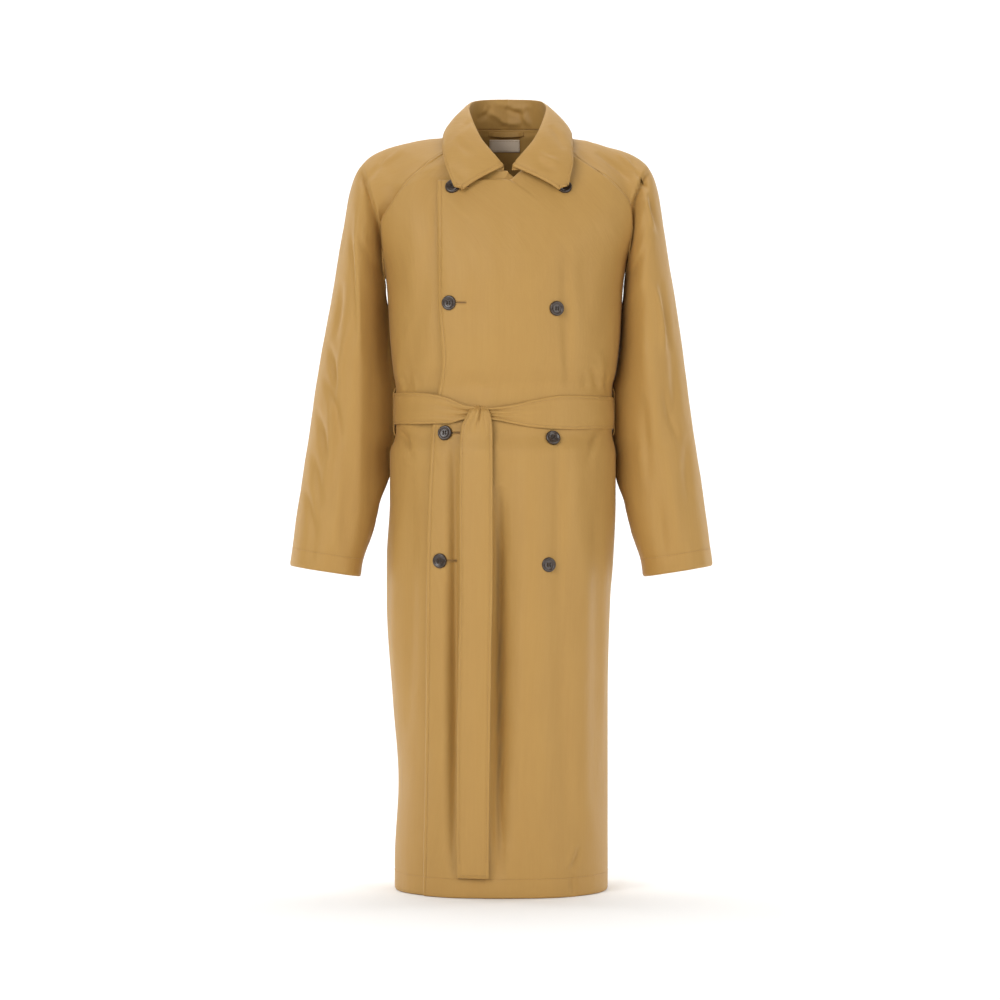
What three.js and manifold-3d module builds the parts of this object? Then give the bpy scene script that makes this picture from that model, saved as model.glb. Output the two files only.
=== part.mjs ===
// A double-breasted trench coat with raglan sleeves, a turn-down collar and a tied belt.
// It stands filled out, as if worn, and every piece is a thin wall of cloth.
// Millimetres, +Z up, the front faces -Y and +X is on the right as seen from the front.
// The origin is at the height of the neck's base, midway between the shoulders.
import * as THREE from "three";
import { mergeVertices } from "three/addons/utils/BufferGeometryUtils.js";
import Module from "manifold-3d";

const wasm = await Module();
wasm.setup();

// Cloth and seams
const CLOTH = 1.5;
const SEAM = 0.3;
const HEM_CLOTH = 2.4;
const HEM_DEPTH = 30;

// Lap of the fronts: how far the under one sinks, where, and how its hidden corner slopes
const LAP = {
  drop: 2.9,
  run: 40,
  margin: 4,
  highest: -52,
  lowest: -66,
  topX: 44,
  slope: 0.6,
  settled: 0.5,
  tuck: 5,
  tuckHighest: -88,
  tuckLowest: -125,
};

// Levels on the trunk
const UNDERARM_Z = -237;
const WAIST = { top: -406, bottom: -474 };
const HIP_Z = -508;
const HEM_Z = -1210;

// Neck seam: an oval that is low in front and high behind
const NECK = { x: 6, halfWidth: 75, y: -7.5, halfDepth: 87.5, side: 2, tilt: 43, dip: 19 };
const FRONT_RAGLAN_TURN = 75;
const BACK_RAGLAN_TURN = 115;
const NECK_REACH = 2.6;
const NOTCH_WIDTH = 26;

// How full the trunk's sections are: 2 is an ellipse, more is squarer
const FULLNESS = 2.3;

// Half widths and depths of the trunk at each height; spread widens the back only
const trunkSections = [
  { z: 14, left: 66, right: 78, front: 42, back: 84, spread: 4 },
  { z: -10, left: 74, right: 88, front: 62, back: 90, spread: 38 },
  { z: -32, left: 146, right: 160, front: 84, back: 98, spread: 8 },
  { z: -73, left: 212, right: 224, front: 101, back: 110, spread: -6 },
  { z: -112, left: 225, right: 232, front: 119, back: 120, spread: -4 },
  { z: -142, left: 220, right: 226, front: 131, back: 126, spread: 0 },
  { z: -199, left: 197, right: 200, front: 146, back: 134, spread: 0 },
  { z: -237, left: 190, right: 193, front: 150, back: 137, spread: 0 },
  { z: -319, left: 185, right: 188, front: 149, back: 136, spread: 0 },
  { z: -372, left: 180, right: 182, front: 142, back: 128, spread: 0 },
  { z: -406, left: 175, right: 175, front: 131, back: 117, spread: 0 },
  { z: -474, left: 175, right: 175, front: 131, back: 117, spread: 0 },
  { z: -508, left: 185, right: 181, front: 142, back: 128, spread: 0 },
  { z: -583, left: 185, right: 181, front: 147, back: 133, spread: 0 },
  { z: -680, left: 190, right: 177, front: 149, back: 135, spread: 0 },
  { z: -745, left: 190, right: 172, front: 149, back: 136, spread: 0 },
  { z: -907, left: 180, right: 168, front: 150, back: 137, spread: 0 },
  { z: -1037, left: 171, right: 168, front: 150, back: 138, spread: 0 },
  { z: -1166, left: 177, right: 168, front: 150, back: 138, spread: 0 },
  { z: -1210, left: 177, right: 168, front: 150, back: 138, spread: 0 },
];

// Raglan seams from neck (at 0) to underarm (at 1), and the shoulder line above them
const frontRaglan = [
  { at: 0, left: 66, right: 78, z: -10 },
  { at: 0.15, left: 102, right: 116, z: -32 },
  { at: 0.38, left: 154, right: 172, z: -75 },
  { at: 0.55, left: 181, right: 203, z: -112 },
  { at: 0.68, left: 197, right: 206, z: -142 },
  { at: 0.85, left: 194.5, right: 198, z: -199 },
  { at: 1, left: 190, right: 193, z: -237 },
];
const backRaglan = [
  { at: 0, left: 62, right: 74, z: 17 },
  { at: 0.15, left: 92, right: 104, z: -12 },
  { at: 0.38, left: 138, right: 148, z: -52 },
  { at: 0.55, left: 170, right: 180, z: -94 },
  { at: 0.68, left: 190, right: 196, z: -136 },
  { at: 0.85, left: 194.5, right: 197.5, z: -196 },
  { at: 1, left: 190, right: 193, z: -237 },
];
const shoulderLine = [
  { at: 0, left: 69, right: 81, z: 5 },
  { at: 0.15, left: 118, right: 122, z: 2 },
  { at: 0.38, left: 168, right: 160, z: -8 },
  { at: 0.55, left: 210, right: 203, z: -22 },
  { at: 0.68, left: 234, right: 233, z: -44 },
  { at: 0.85, left: 249, right: 248, z: -80 },
  { at: 1, left: 259, right: 257, z: -130 },
];

// Sleeve rings below the underarm: ends of each ring's slanting width, its middle and its depth
const sleeveRings = [
  { innerLeft: 193, innerRight: 196, innerZ: -262, outerLeft: 267, outerRight: 264, outerZ: -172, y: 2, depth: 84 },
  { innerLeft: 191, innerRight: 194, innerZ: -300, outerLeft: 275, outerRight: 272, outerZ: -222, y: 5, depth: 83 },
  { innerLeft: 189, innerRight: 192, innerZ: -345, outerLeft: 285, outerRight: 281, outerZ: -280, y: 8, depth: 80 },
  { innerLeft: 188, innerRight: 189, innerZ: -400, outerLeft: 297, outerRight: 290, outerZ: -345, y: 8, depth: 77 },
  { innerLeft: 189, innerRight: 188, innerZ: -455, outerLeft: 307, outerRight: 299, outerZ: -412, y: 6, depth: 74 },
  { innerLeft: 192, innerRight: 189, innerZ: -510, outerLeft: 317, outerRight: 308, outerZ: -478, y: 3, depth: 70 },
  { innerLeft: 199, innerRight: 193, innerZ: -570, outerLeft: 328, outerRight: 318, outerZ: -548, y: -1, depth: 66 },
  { innerLeft: 213, innerRight: 206, innerZ: -635, outerLeft: 338, outerRight: 327, outerZ: -615, y: -5, depth: 62 },
  { innerLeft: 231, innerRight: 224, innerZ: -692, outerLeft: 345, outerRight: 335, outerZ: -674, y: -8, depth: 59 },
  { innerLeft: 232, innerRight: 225, innerZ: -706, outerLeft: 347, outerRight: 337, outerZ: -688, y: -8, depth: 58 },
];

// How the sleeve's cloth leaves the raglan seams: straight over the shoulder near the neck,
// swung forward and back into a round sleeve towards the underarm
const SWING = { from: 0.45, free: 0.7, pull: 0.36, out: 14, lift: 3.5 };
const ROUND = 4 / 3;
const SHOULDER_Y = 4;

// Front edges: the over front's outer edge from top to hem, and the under front's hidden one
const OVER_TOP_Z = -73;
const overEdge = [
  { z: -73, x: -106 },
  { z: -254, x: -107 },
  { z: -360, x: -99 },
  { z: -473, x: -116 },
  { z: -678, x: -123 },
  { z: -980, x: -126 },
  { z: -1210, x: -130 },
];

// Largest folds of the front: troughs that run down the cloth, drifting sideways
const frontFolds = [
  { x: -110, drift: -42, top: -150, bottom: -394, width: 17, depth: 5 },
  { x: 98, drift: 2, top: -165, bottom: -405, width: 10, depth: 4 },
  { x: -9, drift: 1, top: -480, bottom: -1160, width: 11, depth: 12 },
  { x: -81, drift: 2, top: -492, bottom: -1170, width: 9, depth: 9 },
  { x: 84, drift: 4, top: -475, bottom: -760, width: 8, depth: 3 },
  { x: 95, drift: 8, top: -760, bottom: -1160, width: 22, depth: 6 },
  { x: -150, drift: -6, top: -560, bottom: -980, width: 15, depth: 5 },
  { x: 148, drift: -6, top: -560, bottom: -1080, width: 14, depth: 5 },
];

// Soft folds of the back, as such a coat hangs below its belt and over its shoulder blades
const backFolds = [
  { x: -120, drift: 14, top: -150, bottom: -395, width: 20, depth: 6 },
  { x: 118, drift: -10, top: -165, bottom: -395, width: 18, depth: 6 },
  { x: -96, drift: -14, top: -480, bottom: -1100, width: 19, depth: 9 },
  { x: -24, drift: 6, top: -490, bottom: -1160, width: 15, depth: 8 },
  { x: 52, drift: 10, top: -480, bottom: -1060, width: 18, depth: 9 },
  { x: 122, drift: 8, top: -500, bottom: -1140, width: 17, depth: 8 },
];

// The valley where the sleeve breaks away from the chest, from the shoulder's corner down
const CREASE = { top: -42, full: -105, low: -165, bottom: -195, width: 11, depth: 11, forward: 40 };
const creaseLine = [
  { z: -49, left: 230, right: 233 },
  { z: -92, left: 217, right: 212 },
  { z: -124, left: 208, right: 205 },
  { z: -151, left: 201, right: 203 },
  { z: -199, left: 195, right: 198 },
];

// Collar: the fold line above the neck seam and the leaf's outer edge, from front (turn 5) to back
const foldLine = [
  { turn: 5, x: 6.5, y: -99, z: -49 },
  { turn: 15, x: 16, y: -98, z: -38 },
  { turn: 40, x: 42, y: -80, z: -5 },
  { turn: 62, x: 56, y: -50, z: 28 },
  { turn: 85, x: 61.5, y: -14, z: 50 },
  { turn: 120, x: 55, y: 32, z: 67 },
  { turn: 150, x: 33, y: 62, z: 74 },
  { turn: 180, x: 0, y: 73, z: 76 },
];
const leafEdge = [
  { turn: 5, left: 73, right: 82, y: -118, z: -91 },
  { turn: 15, left: 83, right: 94, y: -114, z: -86 },
  { turn: 30, left: 94, right: 101, y: -104, z: -66 },
  { turn: 46, left: 102, right: 105, y: -88, z: -42 },
  { turn: 65, left: 106, right: 105, y: -58, z: -15 },
  { turn: 90, left: 104, right: 103, y: -8, z: 9 },
  { turn: 120, left: 90, right: 90, y: 52, z: 8 },
  { turn: 150, left: 54, right: 54, y: 94, z: 0 },
  { turn: 180, left: 0, right: 0, y: 104, z: -5 },
];

const COLLAR_ROLL = { out: 15, up: 4, back: 2, fall: 0.35, slack: 0.8 };

// Belt: the band's upper and lower edges along the front, and its level behind
const BELT = { top: -413, bottom: -467, clear: 1, gap: 2 };
const KNOT = { x: -41, z: -450, halfWidth: 25, halfHeight: 17, halfDepth: 8, squareness: 0.75, slant: 0.08 };
const beltEdges = [
  { x: -176, top: -410, bottom: -461 },
  { x: -128, top: -413, bottom: -462 },
  { x: -90, top: -421, bottom: -462 },
  { x: -58, top: -434, bottom: -455 },
  { x: -24, top: -438, bottom: -455 },
  { x: 14, top: -433, bottom: -462 },
  { x: 46, top: -425, bottom: -468 },
  { x: 101, top: -417, bottom: -471 },
  { x: 176, top: -417, bottom: -468 },
];
const TAIL = { width: 52, top: -467.6, frontBottom: -1178, backBottom: -1130, bow: 2, apart: 0.4 };
const TAIL_STEPS = { rows: 11, columns: 4 };
const tailPath = [
  { z: -467, x: -45, off: 11 },
  { z: -600, x: -45, off: 7 },
  { z: -800, x: -46, off: 5 },
  { z: -1000, x: -48, off: 5 },
  { z: -1178, x: -50, off: 5 },
];
const CARRIER_HALF_WIDTH = 5;
const carrierPath = [
  { z: -402, off: 0.7 },
  { z: -409, off: 3.2 },
  { z: -471, off: 3.2 },
  { z: -478, off: 0.9 },
];

// Buttons
const BUTTON = { radius: 12, height: 4, rim: 3, well: 1.1, hole: 1.1, spacing: 2.9, segments: 16 };
const buttonRows = [
  { leftX: -82, leftZ: -85, rightX: 96, rightZ: -85 },
  { leftX: -87, leftZ: -272, rightX: 83, rightZ: -281 },
  { leftX: -93, leftZ: -477, rightX: 77, rightZ: -485 },
  { leftX: -101, leftZ: -679, rightX: 70, rightZ: -685 },
];

// Label and hanging loop inside the back neck
const LABEL = { left: -24, right: 26, top: 10.5, bottom: -8.5, cloth: 0.8 };
const HANGER = { left: -26, right: 33, z: 18.5, halfHeight: 3.3, cloth: 1.2, stand: 4, roots: 9 };

// How finely each wall is divided
const RAGLAN_STEPS = 11;
const CHEST_STEP = 35;
const SKIRT_STEP = 82;
const FRONT_COLUMNS = 20;
const OPEN_COLUMNS = 7;
const LAP_COLUMNS = 12;
const BACK_COLUMNS = 20;
const ARCH_STEPS = 9;
const COLLAR_COLUMNS = 34;
const COLLAR_START = 5;
const LEAF_STEPS = 6;

// Colours
const coatCloth = { color: 0xc1985b, roughness: 0.62, metalness: 0 };
const hornPlastic = { color: 0x2c251c, roughness: 0.35, metalness: 0 };
const labelCloth = { color: 0xd9cbb2, roughness: 0.8, metalness: 0 };

const coat = new THREE.Group();
const lerp = THREE.MathUtils.lerp;
const radians = THREE.MathUtils.degToRad;

// Smooth value of a column at a key, through a table's rows, with no overshoot between them
function column(rows, key, at, name) {
  const ascending = rows[0][key] < rows[rows.length - 1][key];
  const list = ascending ? rows : [...rows].reverse();
  const last = list.length - 1;
  const clamped = THREE.MathUtils.clamp(at, list[0][key], list[last][key]);
  let i = 0;
  while (i < last - 1 && clamped > list[i + 1][key]) i += 1;
  const rise = (j) => (list[j + 1][name] - list[j][name]) / (list[j + 1][key] - list[j][key]);
  const slope = (j) => {
    const before = rise(Math.max(j - 1, 0));
    const after = rise(Math.min(j, last - 1));
    return before * after > 0 ? (2 * before * after) / (before + after) : 0;
  };
  const span = list[i + 1][key] - list[i][key];
  const t = (clamped - list[i][key]) / span;
  const start = (1 + 2 * t) * (1 - t) ** 2 * list[i][name];
  const end = t * t * (3 - 2 * t) * list[i + 1][name];
  return start + end + span * (t * (1 - t) ** 2 * slope(i) - t * t * (1 - t) * slope(i + 1));
}

function smooth(value, from, to) {
  const t = THREE.MathUtils.clamp((value - from) / (to - from), 0, 1);
  return t * t * (3 - 2 * t);
}

// Half width of the trunk on the side where x lies, for its front or back
function halfWidth(x, z, behind) {
  const width = column(trunkSections, "z", z, x < 0 ? "left" : "right");
  return behind ? width + column(trunkSections, "z", z, "spread") : width;
}

// Signed height of the trunk's section at x: in front below 0, behind above 0
function trunkY(x, z, behind) {
  const depth = column(trunkSections, "z", z, behind ? "back" : "front");
  const across = Math.min(Math.abs(x) / halfWidth(x, z, behind), 1);
  const y = depth * (1 - across ** FULLNESS) ** (1 / FULLNESS);
  return behind ? y : -y;
}

// Outward direction of the trunk at a point, from the gradient of its section
function trunkNormal(point, behind) {
  const level = (z) => {
    const depth = column(trunkSections, "z", z, behind ? "back" : "front");
    const across = Math.abs(point.x) / halfWidth(point.x, z, behind);
    return across ** FULLNESS + (Math.abs(point.y) / depth) ** FULLNESS;
  };
  const width = halfWidth(point.x, point.z, behind);
  const depth = column(trunkSections, "z", point.z, behind ? "back" : "front");
  const power = FULLNESS - 1;
  const x = (Math.sign(point.x) * FULLNESS * (Math.abs(point.x) / width) ** power) / width;
  const y = (Math.sign(point.y) * FULLNESS * (Math.abs(point.y) / depth) ** power) / depth;
  return new THREE.Vector3(x, y, (level(point.z + 1) - level(point.z - 1)) / 2).normalize();
}

// How far the folds sink the cloth at a place
function foldDepth(x, z, behind) {
  let depth = 0;
  for (const fold of behind ? backFolds : frontFolds) {
    const along = (fold.top - z) / (fold.top - fold.bottom);
    if (along <= 0 || along >= 1) continue;
    const middle = fold.x + fold.drift * along;
    const fade = Math.sin(Math.PI * along) ** 0.6;
    depth += fold.depth * fade * Math.exp(-(((x - middle) / fold.width) ** 2));
  }
  return depth;
}

// A point of the trunk with its folds, moved out by a lift
function trunkPoint(x, z, behind, lift = 0) {
  const point = new THREE.Vector3(x, trunkY(x, z, behind), z);
  const out = trunkNormal(point, behind);
  return point.addScaledVector(out, lift - foldDepth(x, z, behind));
}

// Neck seam point, turned from the front (0) to the back (180) on one side
function neckPoint(side, turn) {
  const c = Math.cos(radians(turn));
  const x = NECK.x + side * NECK.halfWidth * Math.sin(radians(turn));
  const y = NECK.y - NECK.halfDepth * c;
  return new THREE.Vector3(x, y, NECK.side - NECK.tilt * c - NECK.dip * c * c);
}

function sideName(side) {
  return side < 0 ? "left" : "right";
}

// How strongly a panel still follows the neck seam, from the neck (at 0) down its raglan seam
function neckPull(at) {
  return Math.max(1 - at * NECK_REACH, 0) ** 2;
}

// The trunk at x and z, drawn towards a point of the neck seam
function drawnPoint(x, z, behind, lift, neck, at) {
  const error = neck.clone().sub(trunkPoint(neck.x, neck.z, behind, lift));
  return trunkPoint(x, z, behind, lift).addScaledVector(error, neckPull(at));
}

// Point of a raglan seam, from neck (at 0) to underarm (at 1)
function raglanPoint(side, at, behind) {
  const table = behind ? backRaglan : frontRaglan;
  const neck = neckPoint(side, behind ? BACK_RAGLAN_TURN : FRONT_RAGLAN_TURN);
  if (at === 0) return neck;
  const z = column(table, "at", at, "z");
  const x = Math.min(column(table, "at", at, sideName(side)), halfWidth(side, z, behind));
  return drawnPoint(side * x, z, behind, 0, neck, at);
}

// Mesh made of triangles between indexed points
function addMesh(name, points, faces, finish) {
  const geometry = new THREE.BufferGeometry();
  const positions = points.flatMap((p) => [p.x, p.y, p.z]);
  geometry.setAttribute("position", new THREE.Float32BufferAttribute(positions, 3));
  geometry.setIndex(faces.flat());
  geometry.computeVertexNormals();
  const mesh = new THREE.Mesh(geometry, new THREE.MeshStandardMaterial(finish));
  mesh.name = name;
  coat.add(mesh);
  return mesh;
}

// Outward direction at each grid point, from its neighbours along rows and columns
function gridNormals(grid) {
  const rows = grid.length - 1;
  return grid.map((row, r) =>
    row.map((_, c) => {
      const across = row[Math.min(c + 1, row.length - 1)].clone().sub(row[Math.max(c - 1, 0)]);
      const down = grid[Math.min(r + 1, rows)][c].clone().sub(grid[Math.max(r - 1, 0)][c]);
      return down.cross(across).normalize();
    }),
  );
}

// Wall of cloth under a grid of outer points; columns run to the right as seen from outside,
// rows run down. Thickness may change from row to row.
function wall(name, grid, finish, { cloth = () => CLOTH, normals = gridNormals(grid) } = {}) {
  const rows = grid.length;
  const columns = grid[0].length;
  const outer = grid.flat();
  const inner = grid.flatMap((row, r) =>
    row.map((p, c) => p.clone().addScaledVector(normals[r][c], -cloth(r))),
  );
  const count = outer.length;
  const faces = [];
  const quad = (a, b, c, d) => faces.push([a, b, c], [a, c, d]);
  for (let r = 0; r < rows - 1; r += 1) {
    for (let c = 0; c < columns - 1; c += 1) {
      const a = r * columns + c;
      quad(a, a + columns, a + columns + 1, a + 1);
      quad(count + a, count + a + 1, count + a + columns + 1, count + a + columns);
    }
    const left = r * columns;
    const right = left + columns - 1;
    quad(left, left + count, left + columns + count, left + columns);
    quad(right, right + columns, right + columns + count, right + count);
  }
  for (let c = 0; c < columns - 1; c += 1) {
    const bottom = (rows - 1) * columns + c;
    quad(c, c + 1, c + 1 + count, c + count);
    quad(bottom, bottom + count, bottom + 1 + count, bottom + 1);
  }
  return addMesh(name, [...outer, ...inner], faces, finish);
}

// Heights of the rows below the underarm, close at the waist and wider on the skirt
function lowerLevels() {
  const stretches = [
    { from: UNDERARM_Z, to: WAIST.top, step: CHEST_STEP },
    { from: WAIST.top, to: WAIST.bottom, step: CHEST_STEP },
    { from: WAIST.bottom, to: HIP_Z, step: CHEST_STEP },
    { from: HIP_Z, to: HEM_Z + HEM_DEPTH, step: SKIRT_STEP },
  ];
  const levels = [];
  for (const { from, to, step } of stretches) {
    const count = Math.round((from - to) / step);
    for (let i = 1; i <= count; i += 1) levels.push(lerp(from, to, i / count));
  }
  return [...levels, HEM_Z];
}

// Cloth of a trunk panel at a row: doubled at the turned hem
function hemCloth(row) {
  return row >= RAGLAN_STEPS + lowerLevels().length - 1 ? HEM_CLOTH : CLOTH;
}

// Place across a section that is even round its curve, between two values of x
function alongSection(from, to, share, z, behind) {
  const angle = (x) => {
    const across = Math.min(Math.abs(x) / halfWidth(x, z, behind), 1);
    return Math.acos(Math.sign(x) * across ** (FULLNESS / 2));
  };
  const c = Math.cos(lerp(angle(from), angle(to), share));
  return Math.sign(c) * halfWidth(c, z, behind) * Math.abs(c) ** (2 / FULLNESS);
}

// Moves both ends of a row in by half a seam's gap
function insetEnds(row) {
  const last = row.length - 1;
  const towards = (from, to) => to.clone().sub(from).setLength(SEAM / 2);
  const first = towards(row[0], row[1]);
  const end = towards(row[last], row[last - 1]);
  row[0].add(first);
  row[last].add(end);
  return row;
}

// Place across a panel: even in x at the neck, even round the section further down
function placeAcross(from, to, share, at, z, behind) {
  const curved = alongSection(from, to, share, z, behind);
  return lerp(lerp(from, to, share), curved, smooth(at, 0, 1));
}

// Rows of a trunk panel: from its top edge, down between the raglan seams and on to the hem.
// top gives the top edge's point at a column, across the x of a column at a height.
function panelGrid({ columns, behind, top, across, drop = () => 0, seams }) {
  const seamZ = (at) => raglanPoint(seams[seams.length - 1], at, behind).z;
  const grid = [];
  for (let r = 0; r <= RAGLAN_STEPS; r += 1) {
    const at = r / RAGLAN_STEPS;
    const fall = (seamZ(0) - seamZ(at)) / (seamZ(0) - UNDERARM_Z);
    const row = [];
    for (let c = 0; c <= columns; c += 1) {
      const neck = top(c);
      const z = lerp(neck.z, UNDERARM_Z, fall);
      const x = across(c, at, z);
      row.push(drawnPoint(x, z, behind, -drop(x, z), neck, at));
    }
    for (const side of seams) row[side < 0 ? 0 : columns] = raglanPoint(side, at, behind);
    grid.push(insetEnds(row));
  }
  for (const z of lowerLevels()) {
    const row = [];
    for (let c = 0; c <= columns; c += 1) {
      const x = across(c, 1, z);
      row.push(trunkPoint(x, z, behind, -drop(x, z)));
    }
    grid.push(insetEnds(row));
  }
  return grid;
}

function trunkNormals(grid, behind) {
  return grid.map((row) => row.map((point) => trunkNormal(point, behind)));
}

// Side limit of a panel on one side: its raglan seam above the underarm, its side seam below
function seamX(side, at, z, behind) {
  return at < 1 ? raglanPoint(side, at, behind).x : side * halfWidth(side, z, behind);
}

// Point of the neck seam above an x of the front or the back
function neckAbove(x, behind) {
  const side = x < NECK.x ? -1 : 1;
  const share = Math.min(Math.abs(x - NECK.x) / NECK.halfWidth, 1);
  const turn = THREE.MathUtils.radToDeg(Math.asin(share));
  return neckPoint(side, behind ? 180 - turn : turn);
}

function makeBack() {
  const from = neckPoint(-1, BACK_RAGLAN_TURN).x;
  const to = neckPoint(1, BACK_RAGLAN_TURN).x;
  const grid = panelGrid({
    columns: BACK_COLUMNS,
    behind: true,
    top: (c) => neckAbove(lerp(from, to, c / BACK_COLUMNS), true),
    across: (c, at, z) => {
      const [left, right] = [-1, 1].map((side) => seamX(side, at, z, true));
      return placeAcross(left, right, c / BACK_COLUMNS, at, z, true);
    },
    seams: [-1, 1],
  });
  const turned = grid.map((row) => [...row].reverse());
  wall("back", turned, coatCloth, { cloth: hemCloth, normals: trunkNormals(turned, true) });
  return grid;
}

// Place across the over front, from its free edge to the seams on the right
function overAcross(c, at, z) {
  const edge = column(overEdge, "z", z, "x");
  return placeAcross(edge, seamX(1, at, z, false), c / FRONT_COLUMNS, at, z, false);
}

// The front that laps over
function makeOverFront() {
  const to = neckPoint(1, FRONT_RAGLAN_TURN).x;
  const from = column(overEdge, "z", OVER_TOP_Z, "x");
  const top = (c) => {
    const x = lerp(from, to, c / FRONT_COLUMNS);
    if (x < NECK.x) return trunkPoint(x, OVER_TOP_Z, false);
    const point = neckAbove(x, false);
    const notch = neckPoint(1, 0).z - OVER_TOP_Z;
    point.z -= notch * (1 - smooth(x, NECK.x, NECK.x + NOTCH_WIDTH));
    return point;
  };
  const grid = panelGrid({ columns: FRONT_COLUMNS, behind: false, top, across: overAcross, seams: [1] });
  wall("front_over", grid, coatCloth, { cloth: hemCloth, normals: trunkNormals(grid, false) });
  return grid;
}

// The front that lies under: it sinks by the lap's thickness before it passes the other's edge,
// and shares the other's columns behind it
function makeUnderFront() {
  const from = neckPoint(-1, FRONT_RAGLAN_TURN).x;
  const centre = neckPoint(1, 0);
  const drop = (x, z) => {
    const past = x - column(overEdge, "z", z, "x");
    const tuck = LAP.tuck * smooth(x, -NOTCH_WIDTH, NECK.x) * smooth(z, LAP.tuckLowest, LAP.tuckHighest);
    return (LAP.drop + tuck) * smooth(past, -LAP.run, -LAP.margin) * smooth(z, LAP.highest, LAP.lowest);
  };
  const across = (c, at, z) => {
    if (c > OPEN_COLUMNS) return overAcross(c - OPEN_COLUMNS, at, z);
    const edge = overAcross(0, at, z);
    return placeAcross(seamX(-1, at, z, false), edge, c / OPEN_COLUMNS, at, z, false);
  };
  const columns = OPEN_COLUMNS + LAP_COLUMNS;
  const top = (c) => {
    const x = lerp(from, LAP.topX, c / columns);
    if (x < NECK.x) return neckAbove(x, false);
    const z = centre.z - LAP.slope * (x - NECK.x);
    return trunkPoint(x, z, false, -drop(x, z));
  };
  const lapped = (c, at, z) => {
    const even = lerp(from, LAP.topX, c / columns);
    return lerp(even, across(c, at, z), smooth(at, 0, LAP.settled));
  };
  const grid = panelGrid({ columns, behind: false, top, drop, across: lapped, seams: [-1] });
  wall("front_under", grid, coatCloth, { cloth: hemCloth, normals: trunkNormals(grid, false) });
}

// How far the valley beside the chest sinks a point of the sleeve's front
function creaseDepth(point) {
  const line = column(creaseLine, "z", point.z, sideName(point.x));
  const away = (Math.abs(point.x) - line) / CREASE.width;
  const reach = smooth(point.z, CREASE.top, CREASE.full) * smooth(point.z, CREASE.bottom, CREASE.low);
  return CREASE.depth * reach * smooth(-point.y, 0, CREASE.forward) * Math.exp(-away * away);
}

// Half an arch of sleeve cloth, from a seam point to the top line, as a smooth curve
function halfArch(seam, seamPull, top, topPull) {
  const [leaving, arriving] = [seam.clone().add(seamPull), top.clone().add(topPull)];
  return new THREE.CubicBezierCurve3(seam, leaving, arriving, top).getPoints(ARCH_STEPS);
}

// One row of the sleeve, from the front seam over the top to the back seam
function archRow(frontSeam, frontPull, top, topPull, backSeam, backPull) {
  const front = halfArch(frontSeam, frontPull, top, topPull.clone().negate());
  const back = halfArch(backSeam, backPull, top, topPull).reverse();
  return insetEnds([...front, ...back.slice(1)]);
}

// Rows over the shoulder, whose ends lie on the raglan seams
function shoulderRow(side, at) {
  if (at === 0) {
    const steps = [...Array(2 * ARCH_STEPS + 1).keys()];
    const turn = (step) => lerp(FRONT_RAGLAN_TURN, BACK_RAGLAN_TURN, step / (2 * ARCH_STEPS));
    return insetEnds(steps.map((step) => neckPoint(side, turn(step))));
  }
  const swing = smooth(at, SWING.from, 1);
  const roundness = ROUND * sleeveRings[0].depth;
  const topY = SHOULDER_Y * smooth(at, 0, SWING.from);
  const topX = side * column(shoulderLine, "at", at, sideName(side));
  const top = new THREE.Vector3(topX, topY, column(shoulderLine, "at", at, "z"));
  const lift = side * SWING.lift * swing;
  const [front, back] = [false, true].map((behind) => {
    const seam = raglanPoint(side, at, behind).add(new THREE.Vector3(lift, 0, 0));
    const swung = new THREE.Vector3(side * SWING.out, behind ? roundness : -roundness, 0);
    const pull = top.clone().sub(seam).multiplyScalar(SWING.pull).lerp(swung, swing);
    return { seam, pull };
  });
  const reach = lerp(SWING.pull * (back.seam.y - front.seam.y) * 0.5, roundness, swing);
  const topPull = new THREE.Vector3(0, reach, 0);
  return archRow(front.seam, front.pull, top, topPull, back.seam, back.pull);
}

// Closed rings below the underarm, which start and end on the seam inside the arm
function ringRow(side, ring) {
  const name = side < 0 ? "Left" : "Right";
  const inner = new THREE.Vector3(side * ring[`inner${name}`], ring.y, ring.innerZ);
  const outer = new THREE.Vector3(side * ring[`outer${name}`], ring.y, ring.outerZ);
  const pull = new THREE.Vector3(0, ROUND * ring.depth, 0);
  return archRow(inner, pull.clone().negate(), outer, pull, inner.clone(), pull);
}

function makeSleeve(side) {
  const rows = [];
  for (let r = 0; r <= RAGLAN_STEPS; r += 1) rows.push(shoulderRow(side, r / RAGLAN_STEPS));
  for (const ring of sleeveRings) rows.push(ringRow(side, ring));
  for (const point of rows.flat()) point.y += creaseDepth(point);
  const grid = side < 0 ? rows.map((row) => row.reverse()) : rows;
  const normals = gridNormals(grid);
  for (let r = 0; r <= RAGLAN_STEPS; r += 1) {
    const share = 1 - smooth(r / RAGLAN_STEPS, SWING.from, SWING.free);
    const last = grid[r].length - 1;
    for (const c of [0, last]) {
      const trunk = trunkNormal(grid[r][c], (c === 0) === side < 0);
      normals[r][c].lerp(trunk, share).normalize();
    }
  }
  const cuff = (row) => (row >= rows.length - 2 ? HEM_CLOTH : CLOTH);
  wall(`sleeve_${sideName(side)}`, grid, coatCloth, { cloth: cuff, normals });
}

// Places round the collar: from the front on the right, round the back, to the front on the left
function collarPlaces() {
  const places = [];
  for (let c = 0; c <= COLLAR_COLUMNS; c += 1) {
    const share = c / COLLAR_COLUMNS;
    const side = share <= 0.5 ? 1 : -1;
    const turn = lerp(COLLAR_START, 180, 1 - Math.abs(1 - 2 * share));
    const out = new THREE.Vector3(side * Math.sin(radians(turn)), -Math.cos(radians(turn)), 0);
    const foldAt = (name) => column(foldLine, "turn", turn, name);
    const fold = new THREE.Vector3(NECK.x + side * foldAt("x"), foldAt("y"), foldAt("z"));
    places.push({ side, turn, out, fold });
  }
  return places;
}

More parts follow.
